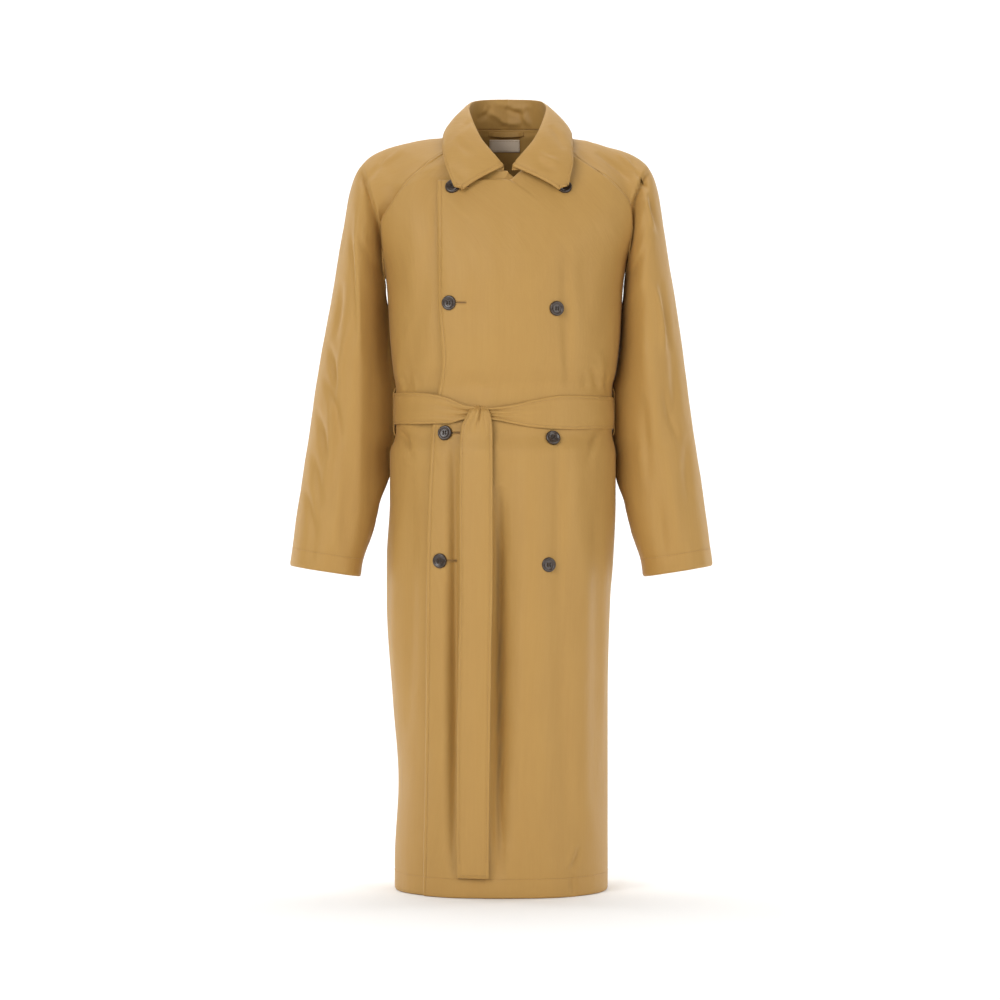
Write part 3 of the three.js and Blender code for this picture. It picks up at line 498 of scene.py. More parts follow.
def trunk_normal(points, behind):
    """Outward direction of the trunk, from the gradient of its section."""
    x, y, z = points[..., 0], points[..., 1], points[..., 2]
    side = "back" if behind else "front"

    def level(height):
        across = np.abs(x) / half_width(x, height, behind)
        return across**FULLNESS + (np.abs(y) / column(TRUNK, height, side)) ** FULLNESS

    width, depth = half_width(x, z, behind), column(TRUNK, z, side)
    power = FULLNESS - 1
    nx = np.sign(x) * FULLNESS * (np.abs(x) / width) ** power / width
    ny = np.sign(y) * FULLNESS * (np.abs(y) / depth) ** power / depth
    return unit(points_of(nx, ny, (level(z + 1) - level(z - 1)) / 2))


def crease_depth(x, z, creases):
    """Sum of soft valleys: each is a bell curve across its bowed line and a rounded hump along it."""
    depth = np.zeros(np.broadcast(x, z).shape)
    for x0, z0, x1, z1, width, deep, bow in creases:
        dx, dz = x1 - x0, z1 - z0
        length = math.hypot(dx, dz)
        along = np.clip(((x - x0) * dx + (z - z0) * dz) / length**2, 0, 1)
        away = ((x - x0) * dz - (z - z0) * dx) / length - bow * np.sin(np.pi * along)
        depth += deep * np.sin(np.pi * along) ** 0.6 * np.exp(-((away / width) ** 2))
    return depth


def soft_noise(u, v, cell_u, cell_v, seed):
    """Smooth noise from -1 to 1: seeded random values on a lattice, blended by S curves."""
    lattice = np.random.default_rng(seed).uniform(-1, 1, (64, 64))
    a, b = u / cell_u, v / cell_v
    i, j = np.floor(a).astype(int), np.floor(b).astype(int)
    s, t = smooth(a - i, 0, 1), smooth(b - j, 0, 1)
    near = lerp(lattice[i % 64, j % 64], lattice[(i + 1) % 64, j % 64], s)
    far = lerp(lattice[i % 64, (j + 1) % 64], lattice[(i + 1) % 64, (j + 1) % 64], s)
    return lerp(near, far, t)


def cloth_noise(x, z, seed):
    """Slight unevenness of hanging cloth: long upright waves and shorter ones over them."""
    waves = 1.2 * soft_noise(x, z, 42, 210, seed) + 0.6 * soft_noise(x, z, 21, 80, seed + 1)
    return waves + 0.3 * soft_noise(x, z, 11, 26, seed + 2)


def trunk_point(x, z, behind, lift=0):
    """Point of the trunk at x and z with its creases, moved out by a lift."""
    points = points_of(x, trunk_y(x, z, behind), z)
    creases = BACK_CREASES if behind else FRONT_CREASES
    sink = crease_depth(x, z, creases) + cloth_noise(x, z, SEEDS["back" if behind else "front"])
    # The two panels of a side seam meet there, so neither sinks
    sink = sink * smooth(half_width(x, z, behind) - np.abs(x), 0, SIDE_SEAM_CALM)
    return points + trunk_normal(points, behind) * (lift - sink)[..., None]


def neck_point(side, turn):
    """Point of the neck seam, turned from the front (0) to the back (180) on one side."""
    angle = np.radians(turn)
    c = np.cos(angle)
    x = NECK["x"] + side * NECK["half_width"] * np.sin(angle)
    y = NECK["y"] - NECK["half_depth"] * c
    return points_of(x, y, NECK["side"] - NECK["tilt"] * c - NECK["dip"] * c * c)


def neck_above(x, behind):
    """Point of the neck seam above an x of the front or the back."""
    share = np.minimum(np.abs(x - NECK["x"]) / NECK["half_width"], 1)
    turn = np.degrees(np.arcsin(share))
    return neck_point(np.where(x < NECK["x"], -1, 1), 180 - turn if behind else turn)


def side_name(side):
    return "left" if side < 0 else "right"


def drawn_point(x, z, behind, lift, neck, at):
    """The trunk at x and z, drawn towards a point of the neck seam by a pull that fades with at."""
    pull = np.maximum(1 - at * NECK_REACH, 0) ** 2
    error = neck - trunk_point(neck[..., 0], neck[..., 2], behind, lift)
    return trunk_point(x, z, behind, lift) + error * pull[..., None]


def raglan_point(side, at, behind):
    """Point of a raglan seam, from neck (at 0) to underarm (at 1)."""
    rows = BACK_RAGLAN if behind else FRONT_RAGLAN
    at = np.atleast_1d(np.asarray(at, float))
    neck = neck_point(side, BACK_RAGLAN_TURN if behind else FRONT_RAGLAN_TURN)
    z = column(rows, at, "z")
    x = side * np.minimum(column(rows, at, side_name(side)), half_width(side, z, behind))
    points = drawn_point(x, z, behind, np.zeros_like(at), neck[None, :], at)
    points[at == 0] = neck
    return points


def along_section(start, end, share, z, behind):
    """x between two values of x that is even round the curve of the trunk's section."""

    def angle(x):
        across = np.minimum(np.abs(x) / half_width(x, z, behind), 1)
        return np.arccos(np.sign(x) * across ** (FULLNESS / 2))

    c = np.cos(lerp(angle(start), angle(end), share))
    return np.sign(c) * half_width(c, z, behind) * np.abs(c) ** (2 / FULLNESS)


def place_across(start, end, share, at, z, behind):
    """x across a panel: even in x at the neck, even round the section further down."""
    curved = along_section(start, end, share, z, behind)
    return lerp(lerp(start, end, share), curved, smooth(at, 0, 1))


def seam_x(side, at, z, behind):
    """Side limit of a panel: its raglan seam above the underarm, its side seam below."""
    raglan = raglan_point(side, np.minimum(at, 0.999).ravel(), behind)[:, 0].reshape(at.shape)
    return np.where(at < 1, raglan, side * half_width(side, z, behind))


def close_to_ends(count):
    """Even steps from 0 to 1 that are four times as close at both ends."""
    even = np.linspace(0, 1, count + 1)
    return even - 0.75 * np.sin(2 * np.pi * even) / (2 * np.pi)


def inset_ends(grid):
    """Moves both ends of every row in by half a seam's gap."""
    grid[:, 0] += unit(grid[:, 1] - grid[:, 0]) * SEAM / 2
    grid[:, -1] += unit(grid[:, -2] - grid[:, -1]) * SEAM / 2
    return grid


RAGLAN_ROWS = np.linspace(0, 1, 61)
LOWER_ROWS = np.append(np.linspace(UNDERARM_Z, HEM_Z + 2, 200)[1:], HEM_Z)


def panel_grid(top, behind, across, seams, drop):
    """Rows of a trunk panel, from its top edge down between the raglan seams and on to the hem.
    top holds the top edge's points; across gives the columns' x, and drop how far they sink."""
    at = RAGLAN_ROWS[:, None]
    seam_z = raglan_point(seams[-1], RAGLAN_ROWS, behind)[:, 2:]
    fall = (seam_z[0] - seam_z) / (seam_z[0] - UNDERARM_Z)
    z = lerp(top[None, :, 2], UNDERARM_Z, fall)
    x = across(at + np.zeros_like(z), z)
    upper = drawn_point(x, z, behind, -drop(x, z), top[None], at + np.zeros_like(z))
    for side in seams:
        upper[:, 0 if side < 0 else -1] = raglan_point(side, RAGLAN_ROWS, behind)
    z = LOWER_ROWS[:, None] + np.zeros(len(top))
    x = across(np.ones_like(z), z)
    lower = trunk_point(x, z, behind, -drop(x, z))
    return inset_ends(np.concatenate((upper, lower)))


def no_drop(x, z):
    return np.zeros(np.broadcast(x, z).shape)


def back_grid():
    """The back, from raglan seam to raglan seam; columns run to the right as seen from the front."""
    share = close_to_ends(COLUMNS["back"])
    ends = [neck_point(side, BACK_RAGLAN_TURN)[0] for side in (-1, 1)]
    top = neck_above(lerp(ends[0], ends[1], share), True)

    def across(at, z):
        left, right = seam_x(-1, at, z, True), seam_x(1, at, z, True)
        return place_across(left, right, share[None], at, z, True)

    return panel_grid(top, True, across, (-1, 1), no_drop)


def over_grid():
    """The front that laps over, from its free edge to the seams on the right."""
    share = close_to_ends(COLUMNS["over"])
    x = lerp(column(OVER_EDGE, OVER_TOP_Z, "x"), neck_point(1, FRONT_RAGLAN_TURN)[0], share)
    high = neck_above(x, False)
    notch = neck_point(1, 0)[2] - OVER_TOP_Z
    high[:, 2] -= notch * (1 - smooth(x, NECK["x"], NECK["x"] + NOTCH_WIDTH))
    low = trunk_point(x, np.full_like(x, OVER_TOP_Z), False, np.zeros_like(x))
    top = np.where((x < NECK["x"])[:, None], low, high)

    def across(at, z):
        edge = column(OVER_EDGE, z, "x")
        return place_across(edge, seam_x(1, at, z, False), share[None], at, z, False)

    return panel_grid(top, False, across, (1,), no_drop)


def under_grid():
    """The front that lies under: it sinks before it passes the other's edge and runs on behind it."""
    share = close_to_ends(COLUMNS["under"])
    lapped = LAP["columns"]
    start = neck_point(-1, FRONT_RAGLAN_TURN)[0]
    even = lerp(start, TUCK["top_x"], share)

    def drop(x, z):
        past = x - column(OVER_EDGE, z, "x")
        tuck = smooth(x, -NOTCH_WIDTH, NECK["x"]) * smooth(z, TUCK["lowest"], TUCK["highest"])
        sunk = smooth(past, -LAP["run"], -LAP["margin"]) * smooth(z, LAP["highest"], LAP["lowest"])
        return (LAP["drop"] + TUCK["depth"] * tuck) * sunk

    slope_z = neck_point(1, 0)[2] - TUCK["slope"] * (even - NECK["x"])
    top = np.where(
        (even < NECK["x"])[:, None],
        neck_above(even, False),
        trunk_point(even, slope_z, False, -drop(even, slope_z)),
    )

    def across(at, z):
        edge = column(OVER_EDGE, z, "x")
        far = seam_x(1, at, z, False)
        open_share = np.minimum(share / (1 - lapped), 1)
        hidden = np.maximum((share - (1 - lapped)) / lapped, 0) * LAP["reach"]
        shown = place_across(seam_x(-1, at, z, False), edge, open_share[None], at, z, False)
        behind = place_across(edge, far, hidden[None], at, z, False)
        lower = np.where(share[None] < 1 - lapped, shown, behind)
        return lerp(even[None], lower, smooth(at, 0, TUCK["settled"]))

    return panel_grid(top, False, across, (-1,), drop)


def bezier(p0, p1, p2, p3, steps):
    """Points of cubic curves at even steps, one curve for each row of the control points."""
    t = steps[None, :, None]
    p0, p1, p2, p3 = (p[:, None, :] for p in (p0, p1, p2, p3))
    outer = (1 - t) ** 3 * p0 + t**3 * p3
    return outer + 3 * t * (1 - t) ** 2 * p1 + 3 * t * t * (1 - t) * p2


def arch(front, front_pull, top, top_pull, back, back_pull):
    """Rows of sleeve cloth from the front seam over the top to the back seam, in two curves."""
    half = COLUMNS["sleeve"] // 2
    near = close_to_ends(2 * half)[: half + 1] * 2
    rising = bezier(front, front + front_pull, top - top_pull, top, near)
    falling = bezier(back, back + back_pull, top + top_pull, top, near)[:, ::-1]
    return np.concatenate((rising, falling[:, 1:]), 1)


def shoulder_rows(side, at):
    """Rows over the shoulder, whose ends lie on the raglan seams."""
    swing = smooth(at, SWING["from"], 1)[:, None]
    roundness = ROUND * RINGS["depth"][0]
    top = points_of(
        side * column(SHOULDER, at, side_name(side)),
        SHOULDER_Y * smooth(at, 0, SWING["from"]),
        column(SHOULDER, at, "z"),
    )
    ends, pulls = [], []
    for behind in (False, True):
        seam = raglan_point(side, at, behind)
        seam[:, 0] += side * SWING["lift"] * swing[:, 0]
        swung = np.array([side * SWING["out"], roundness if behind else -roundness, 0])
        ends.append(seam)
        pulls.append(lerp((top - seam) * SWING["pull"], swung, swing))
    reach = lerp(SWING["pull"] * (ends[1] - ends[0])[:, 1] * 0.5, roundness, swing[:, 0])
    rows = arch(ends[0], pulls[0], top, points_of(0, reach, 0), ends[1], pulls[1])
    turns = np.linspace(FRONT_RAGLAN_TURN, BACK_RAGLAN_TURN, rows.shape[1])
    rows[at == 0] = neck_point(side, turns)
    return rows


def ring_rows(side, ring):
    """Rings below the underarm, which start and end on the seam inside the arm."""
    name, y = side_name(side), column(RINGS, ring, "y")
    inner = points_of(side * column(RINGS, ring, f"inner_{name}"), y, column(RINGS, ring, "inner_z"))
    outer = points_of(side * column(RINGS, ring, f"outer_{name}"), y, column(RINGS, ring, "outer_z"))
    pull = points_of(0, ROUND * column(RINGS, ring, "depth"), 0)
    return arch(inner, -pull, outer, pull, inner, pull)


def grid_normals(grid):
    """Outward directions of a grid whose rows run down and columns to the right from outside."""
    down, across = np.gradient(grid, axis=0), np.gradient(grid, axis=1)
    return unit(np.cross(down, across))


def free_of_seam(grid):
    """0 on a sleeve's front raglan seam and 1 away from it, and 1 all over below the underarm."""
    rows, columns = grid.shape[:2]
    below = smooth(np.arange(rows), len(RAGLAN_ROWS) - 1, len(RAGLAN_ROWS) + 7)[:, None]
    return np.maximum(smooth(np.arange(columns), 0, 8)[None], below)


def turned_in(grid, side):
    """Sleeve with the cloth of its front turned in towards the body past a line down the arm."""
    x, y, z = np.abs(grid[..., 0]), grid[..., 1], grid[..., 2]
    name = side_name(side)
    sharp = column(TURN_IN, z, f"sharp_{name}")
    past = (column(TURN_IN, z, name) - x) / sharp
    turned = sharp * np.logaddexp(0, past * 2) / 2
    front = np.clip(-y / 60, 0, 1)
    most = np.maximum(-y - 6, 0) * 0.75
    lean = np.minimum(column(TURN_IN, z, f"slope_{name}") * turned * front, most)
    grid[..., 1] = y + lean * free_of_seam(grid)
    return grid


def tucked_behind(grid, side):
    """Sleeve whose inner side lies in behind the widest line of the body, as it hangs against it."""
    z = grid[..., 2]
    inner = np.interp(z, RINGS["inner_z"][::-1], RINGS[f"inner_{side_name(side)}"][::-1])
    target = half_width(side, z, False) - TUCK_BEHIND["hidden"]
    above = smooth(z, TUCK_BEHIND["start"], TUCK_BEHIND["full"])
    reach = above * smooth(z, TUCK_BEHIND["end"], TUCK_BEHIND["fade"])
    near = smooth(np.abs(grid[..., 0]), inner + TUCK_BEHIND["span"], inner) * reach
    grid[..., 0] -= side * near * (inner - target)
    grid[..., 1] += near * TUCK_BEHIND["back"]
    return grid


def broken_away(grid, side):
    """Sleeve with the valley pressed in where it breaks away from the chest."""
    z = grid[..., 2]
    away = np.abs(grid[..., 0]) - column(VALLEY_LINE, z, side_name(side))
    slow, steep = np.exp(-away / VALLEY_SHAPE["outer"]), np.exp(-((away / VALLEY_SHAPE["inner"]) ** 2))
    profile = np.where(away > 0, slow, steep)
    reach = smooth(z, VALLEY["top"], VALLEY["full"]) * smooth(z, VALLEY["bottom"], VALLEY["low"])
    forward = smooth(-grid[..., 1], 0, VALLEY_SHAPE["forward"])
    grid[..., 1] += VALLEY_SHAPE["depth"] * reach * forward * profile * free_of_seam(grid)
    return grid


def sleeve_grid(side):
    """A sleeve from the neck to the cuff, open along the seam inside the arm."""
    shoulder = shoulder_rows(side, RAGLAN_ROWS)
    rings = ring_rows(side, np.append(np.linspace(0, 8, 90), (8.1, 8.19, 8.2)))
    step = np.linspace(0, 1, 8)[1:-1, None, None]
    grid = np.concatenate((shoulder, lerp(shoulder[-1:], rings[:1], step), rings))
    middle = grid[1:-1]
    for _ in range(4):
        grid[1:-1, 3:-3] = ((grid[:-2] + 2 * middle + grid[2:]) / 4)[:, 3:-3]
    grid = tucked_behind(turned_in(grid, side), side)
    grid = broken_away(grid, side)
    if side < 0:
        grid = grid[:, ::-1]
    x, y, z = np.abs(grid[..., 0]), grid[..., 1], grid[..., 2]
    column_at = np.arange(grid.shape[1])
    ends = smooth(column_at, 0, 6) * smooth(column_at[::-1], 0, 6)
    sink = crease_depth(x, z, SLEEVE_CREASES[side, False]) * smooth(-y, 0, 20)
    sink += crease_depth(x, z, SLEEVE_CREASES[side, True]) * smooth(y, 0, 20)
    sink += cloth_noise(grid[..., 0] + y, z, SEEDS["sleeve"] + side)
    return inset_ends(grid - grid_normals(grid) * (sink * ends)[..., None])


# Creases of the collar's stand, as seen inside the neck, and of its leaf
STAND_ROWS = 16
STAND_CREASES = (
    (2, 62, 36, 50, 3.5, -4.2, 2),
    (-34, 56, 4, 36, 5, 4.6, -3),
    (-6, 40, 30, 36, 5, 4.4, 2),
    (-44, 40, -20, 62, 4, -3.2, 2),
    (28, 62, 44, 30, 5, 3.8, 2),
    (-20, 70, 12, 66, 4, 2.6, 0),
    (10, 58, 46, 62, 4, 2.4, -2),
    (-40, 30, 34, 27, 4, -1.8, 0),
)
LEAF_CREASES = (
    (-76, -6, -46, -34, 6, 2.7, 3),
    (-64, 20, -84, -40, 7, -2.4, 3),
    (-48, 30, -70, 4, 4, 2, 2),
    (-88, -50, -60, -74, 8, 2.2, 0),
    (56, -32, 88, -48, 5, -3, 2),
    (50, -42, 84, -62, 7, 2.4, 2),
    (74, 18, 96, -24, 6, 2.2, -2),
    (-30, 40, 34, 44, 9, 3, -6),
    (-50, 30, -20, 6, 7, 2.7, 3),
    (48, 34, 18, 8, 7, 2.7, -3),
)


def collar_grid():
    """Collar as one sheet: up the stand from the neck seam, over the fold line and down the leaf,
    from the front on the right round the back to the front on the left."""
    share = np.linspace(0, 1, COLUMNS["collar"] + 1)
    side = np.where(share <= 0.5, 1, -1)
    turn = lerp(COLLAR_START, 180, 1 - np.abs(1 - 2 * share))
    out = points_of(side * np.sin(np.radians(turn)), -np.cos(np.radians(turn)), 0)
    fold = points_of(
        NECK["x"] + side * column(FOLD_LINE, turn, "x"),
        column(FOLD_LINE, turn, "y"),
        column(FOLD_LINE, turn, "z"),
    )
    edge_x = np.where(side < 0, column(LEAF_EDGE, turn, "left"), column(LEAF_EDGE, turn, "right"))
    edge_y, edge_z = column(LEAF_EDGE, turn, "y"), column(LEAF_EDGE, turn, "z")
    edge = points_of(NECK["x"] + side * edge_x, edge_y, edge_z)
    seam = neck_point(side, turn) + np.array([0, 0, SEAM + STAND_SHAPE["above_seam"]])
    up = np.linspace(0, 1, STAND_ROWS)[:, None, None]
    stand = lerp(seam[None], fold[None], up) - out * STAND_SHAPE["hollow"] * 4 * up * (1 - up)
    roll = fold + out * COLLAR_ROLL["out"] + np.array([0, 0, COLLAR_ROLL["up"]])
    rise = COLLAR_ROLL["fall"] * (fold - edge)[:, 2]
    fall = edge - out * COLLAR_ROLL["back"] + points_of(0, 0, rise)
    leaf = bezier(fold, roll, fall, edge, close_to_ends(COLUMNS["leaf"])).swapaxes(0, 1)
    down = np.linspace(0, 1, len(leaf))[:, None]
    bowed = smooth(turn, LEAF_SHAPE["until"], COLLAR_START)
    tip = smooth(turn, LEAF_SHAPE["tip"], COLLAR_START)
    leaf[..., 2] -= LEAF_SHAPE["belly"] * np.sin(np.pi * down) * bowed
    leaf[..., 2] += LEAF_SHAPE["rounding"] * smooth(down, LEAF_SHAPE["from"], 1) * tip
    grid = np.concatenate((stand, leaf[1:]))
    bend = slice(STAND_ROWS - 5, STAND_ROWS + 6)
    for _ in range(COLLAR_ROLL["smoothing"]):
        middle = (grid[:-2] + 2 * grid[1:-1] + grid[2:]) / 4
        grid[bend] = middle[bend.start - 1 : bend.stop - 1]
    x, z, y = grid[..., 0], grid[..., 2], grid[..., 1]
    row = np.arange(len(grid))[:, None]
    inside = smooth(row, STAND_ROWS, STAND_ROWS - 6) * smooth(row, 0, 3)
    sink = -crease_depth(x, z, STAND_CREASES) * inside * smooth(y, 10, 40)
    on_leaf = smooth(row, STAND_ROWS + 2, STAND_ROWS + 10)
    sink += crease_depth(x, z, LEAF_CREASES) * on_leaf
    sink += 0.5 * cloth_noise(x * 2 + y, z * 3, SEEDS["collar"]) * np.maximum(on_leaf, inside)
    return grid - grid_normals(grid) * sink[..., None]


def belt_grid():
    """Belt band from the knot round the right side and the back to the knot again; near the knot
    its height is drawn in and the cloth it can't lose stands up in ridges that run to the knot."""
    right, left = half_width(1, BELT["top"], False), -half_width(-1, BELT["top"], False)
    stretches = (
        (KNOT["x"] + 2, right, 70, False),
        (right, left, 90, True),
        (left, KNOT["x"] - 2, 55, False),
    )
    share = np.linspace(0, 1, 25)[:, None]
    parts = []
    for order, (start, end, steps, behind) in enumerate(stretches):
        step = np.linspace(0, 1, steps + 1)[1 if order else 0 :]
        flat_x = along_section(start, end, step, BELT["top"], behind)
        edge_x = np.sign(flat_x) * right if behind else flat_x
        settle = smooth(1 - np.abs(flat_x) / right, 0, 1) if behind else np.zeros_like(flat_x)
        upper = lerp(column(BELT_EDGES, edge_x, "top"), BELT["top"], settle)
        lower = lerp(column(BELT_EDGES, edge_x, "bottom"), BELT["bottom"], settle)
        z = lerp(upper, lower, share)
        x = along_section(start, end, step[None], z, behind)
        if behind:
            ridges = 0.8 * soft_noise(x, z, 34, 40, SEEDS["belt_back"])
        else:
            away = np.abs(x - KNOT["x"])
            gathered = np.exp(-((away / BELT_PLEATS["reach"]) ** 2))
            lines = PLEAT_PLACES["left" if order else "right"]
            valleys = sum(np.exp(-np.abs(share - line) / BELT_PLEATS["width"]) for line in lines)
            ridges = gathered * (BELT_PLEATS["height"] - BELT_PLEATS["depth"] * valleys)
            ridges += 0.9 * soft_noise(x, z * 1.6, 30, 34, SEEDS["belt_front"])
        base = points_of(x, trunk_y(x, z, behind), z)
        parts.append(base + trunk_normal(base, behind) * (BELT["off"] + ridges + 1)[..., None])
    return np.concatenate(parts, 1)


def hanging_grid(top, bottom, off, pleats, flutter):
    """Hanging end of the belt in front of the skirt: flat across with slightly bowed edges, pleated
    under the knot and gently waved further down."""
    z = np.append(top - (top - bottom) * np.linspace(0, 1, 170) ** 1.25, bottom - 0.01)[:-1, None]
    across = np.linspace(-1, 1, 31)[None]
    x = column(TAIL_PATH, z, "x") + across * column(TAIL_PATH, z, "half_width")
    x = x + flutter * 1.6 * soft_noise(z, z * 0, 120, 50, 31)
    lift = 1.2 * across**2 + 1.3 * flutter * soft_noise(x, z, 26, 120, 33)
    if pleats:
        for place, lean, wide, deep, foot in KNOT_PLEATS:
            centre = across - place - lean * smooth(z, -470, -440)
            lift = lift + smooth(z, foot, -446) * deep * np.exp(-np.abs(centre / wide) ** 1.3)
        lift = lift + 9 * smooth(z, -446, -434) ** 2 + 3.5 * np.abs(across) ** 3 * smooth(z, -480, -440)
    y = trunk_y(x, z, False) - column(TAIL_PATH, z, "off") - off + lift
    return points_of(x, y, z)


def carrier_grid(side):
    """Carrier over the belt at a side seam, stitched to the coat above and below the belt."""
    top, bend, foot_bend, foot = CARRIER["z"][[-1, -3, 2, 0]]
    stretches = ((top, bend, 9), (bend, foot_bend, 30), (foot_bend, foot, 9))
    z = np.concatenate([[top], *(np.linspace(*stretch)[1:] for stretch in stretches)])
    y = np.linspace(-CARRIER_HALF_WIDTH, CARRIER_HALF_WIDTH, 9)[None] * side
    x = side * (half_width(side, z, False) + column(CARRIER, z, "off"))[:, None] - side * CARRIER_BOW * y**2
    return points_of(x, y, z[:, None])


def on_panel(grid, x, z):
    """Points of a panel at x and z, between the panel's own grid points."""
    at_x = np.stack([[np.interp(x, row[:, 0], row[:, k]) for k in range(3)] for row in grid])
    order = np.argsort(at_x[:, 2], axis=0)
    columns = np.arange(len(x))
    heights = at_x[order, 2, columns]
    depths = at_x[order, 1, columns]
    y = np.array([np.interp(z[i], heights[:, i], depths[:, i]) for i in columns])
    return points_of(x, y, z)


def strip_grid(panel, x, z, off, behind):
    """Strip of cloth that lies along a panel at x, z, a distance out of it."""
    shape = np.broadcast(x, z).shape
    flat = [np.broadcast_to(v, shape).ravel() for v in (x, z)]
    points = on_panel(panel, *flat).reshape(*shape, 3)
    return points + trunk_normal(points, behind) * np.broadcast_to(off, shape)[..., None]


# Meshes


def lengths_of(grid):
    """Distance along rows and down columns, from the middle column and the top row, as a UV map."""
    across = np.linalg.norm(np.diff(grid, axis=1), axis=2)
    u = np.concatenate((np.zeros((len(grid), 1)), np.cumsum(across, 1)), 1)
    u -= u[:, u.shape[1] // 2][:, None]
    down = np.linalg.norm(np.diff(grid, axis=0), axis=2).mean(1)
    v = np.append(0, np.cumsum(down))[:, None] + np.zeros_like(u)
    return np.stack((u, -v), -1) * MM


def plain_object(name, points, faces, material):
    """Smooth object in the scene, from points in millimetres."""
    mesh = bpy.data.meshes.new(name)
    mesh.from_pydata((points * MM).tolist(), [], faces if isinstance(faces, list) else faces.tolist())
    mesh.polygons.foreach_set("use_smooth", np.ones(len(mesh.polygons), bool))
    mesh.materials.append(material)
    mesh.update()
    piece = bpy.data.objects.new(name, mesh)
    bpy.context.scene.collection.objects.link(piece)
    return piece


def mesh_object(name, points, faces, uv, material, nodes):
    """Piece of the coat with a UV value for each point, which takes the place of its CAD nodes."""
    piece = plain_object(name, points, faces, material)
    mesh = piece.data
    loop_points = np.empty(len(mesh.loops), np.int32)
    mesh.loops.foreach_get("vertex_index", loop_points)
    layer = mesh.uv_layers.new(name="Cloth")
    layer.data.foreach_set("uv", uv[loop_points].ravel().astype(np.float32))
    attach(piece, "root")
    if nodes:
        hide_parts(*nodes)
    return piece


def loop_of(rows, columns):
    """Indices round the edge of a grid, anticlockwise as seen from outside."""
    index = np.arange(rows * columns).reshape(rows, columns)
    down, bottom = index[:, 0], index[-1, 1:]
    return np.concatenate((down, bottom, index[-2::-1, -1], index[0, -2:0:-1]))


def cloth_wall(name, grid, thickness, material, nodes):
    """Closed wall of cloth under a grid of outer points, with a rounded edge all round."""
    rows, columns = grid.shape[:2]
    normals = grid_normals(grid)
    inner = grid - normals * thickness
    outer_flat, inner_flat = grid.reshape(-1, 3), inner.reshape(-1, 3)
    uv = lengths_of(grid).reshape(-1, 2)
    loop = loop_of(rows, columns)
    middle = (outer_flat + inner_flat)[loop] / 2
    along = np.roll(middle, -1, 0) - np.roll(middle, 1, 0)
    outward = unit(np.cross(along, normals.reshape(-1, 3)[loop]))
    rim = middle + outward * np.linalg.norm((outer_flat - inner_flat)[loop], axis=1, keepdims=True) / 2
    count = rows * columns
    a = np.arange(count).reshape(rows, columns)[:-1, :-1].ravel()
    outer_faces = np.stack((a, a + columns, a + columns + 1, a + 1), 1)
    inner_faces = outer_faces[:, ::-1] + count
    after = np.roll(loop, -1)
    ring = 2 * count + np.arange(len(loop))
    ring_after = np.roll(ring, -1)
    near = np.stack((after, loop, ring, ring_after), 1)
    far = np.stack((ring_after, ring, loop + count, after + count), 1)
    points = np.concatenate((outer_flat, inner_flat, rim))
    faces = np.concatenate((outer_faces, inner_faces, near, far))
    return mesh_object(name, points, faces, np.concatenate((uv, uv, uv[loop])), material, nodes)


def edge_view(values, edge):
    """A grid turned so that the named edge is its first column."""
    turned = {
        "left": values,
        "right": values[:, ::-1],
        "top": values.swapaxes(0, 1),
        "bottom": values[::-1].swapaxes(0, 1),
    }
    return turned[edge]


def edge_gaps(grid, edge):
    """Distance of every grid point from an edge, along the cloth."""
    view = edge_view(grid, edge)
    step = np.linalg.norm(np.diff(view, axis=1), axis=2)
    gaps = np.concatenate((np.zeros((len(view), 1)), np.cumsum(step, 1)), 1)
    back = {"left": gaps, "right": gaps[:, ::-1], "top": gaps.T, "bottom": gaps.T[::-1]}
    return back[edge]


def sewn(grid, **stitched):
    """Grid whose edges roll down into their seams, dip along their stitching and pucker beside it.
    Each argument is an edge with its stitching's distance, or 0 where it has none."""
    sink = np.zeros(grid.shape[:2])
    for order, (edge, line) in enumerate(stitched.items()):
        gaps = edge_gaps(grid, edge)
        sink += SEWING["roll"] * np.exp(-((gaps / SEWING["roll_width"]) ** 2))
        if line:
            along = grid[..., 0] + grid[..., 1] + grid[..., 2]
            pucker = soft_noise(along, gaps, 8, 30, 40 + order) + 0.6 * soft_noise(along, gaps, 19, 60, 50)
            sink += SEWING["dip"] * np.exp(-(((gaps - line) / SEWING["dip_width"]) ** 2))
            near = np.exp(-(((gaps - line) / SEWING["pucker_width"]) ** 2))
            sink += SEWING["pucker"] * pucker * near * smooth(gaps, 0, 3)
    return grid - grid_normals(grid) * sink[..., None]


def inside_line(grid, edge, distance, start=0, stop=None):
    """Line inside an edge of a grid at a distance along the cloth, with the cloth's normals."""
    view, normals = edge_view(grid, edge), edge_view(grid_normals(grid), edge)
    step = np.linalg.norm(np.diff(view, axis=1), axis=2)
    travelled = np.concatenate((np.zeros((len(view), 1)), np.cumsum(step, 1)), 1)

    def pick(values):
        rows = zip(travelled, values)
        return np.array([[np.interp(distance, far, row[:, k]) for k in range(3)] for far, row in rows])

    return pick(view)[start:stop], unit(pick(normals))[start:stop]


# Buttons: a shallow dish with a rounded rim and four holes

BUTTON = {"height": 4, "rim": 2.6, "well": 1.3, "flat": 0.86, "round": 0.62}
BUTTON_HOLE = {"radius": 1.15, "soft": 0.18, "spacing": 2.9, "pit": 2.3}
BUTTON_BAR = {"shift": 0.45, "above": 0.3, "length": 2.7, "radius": 0.42}
HOLE_TURNS = (45, 135, 225, 315)


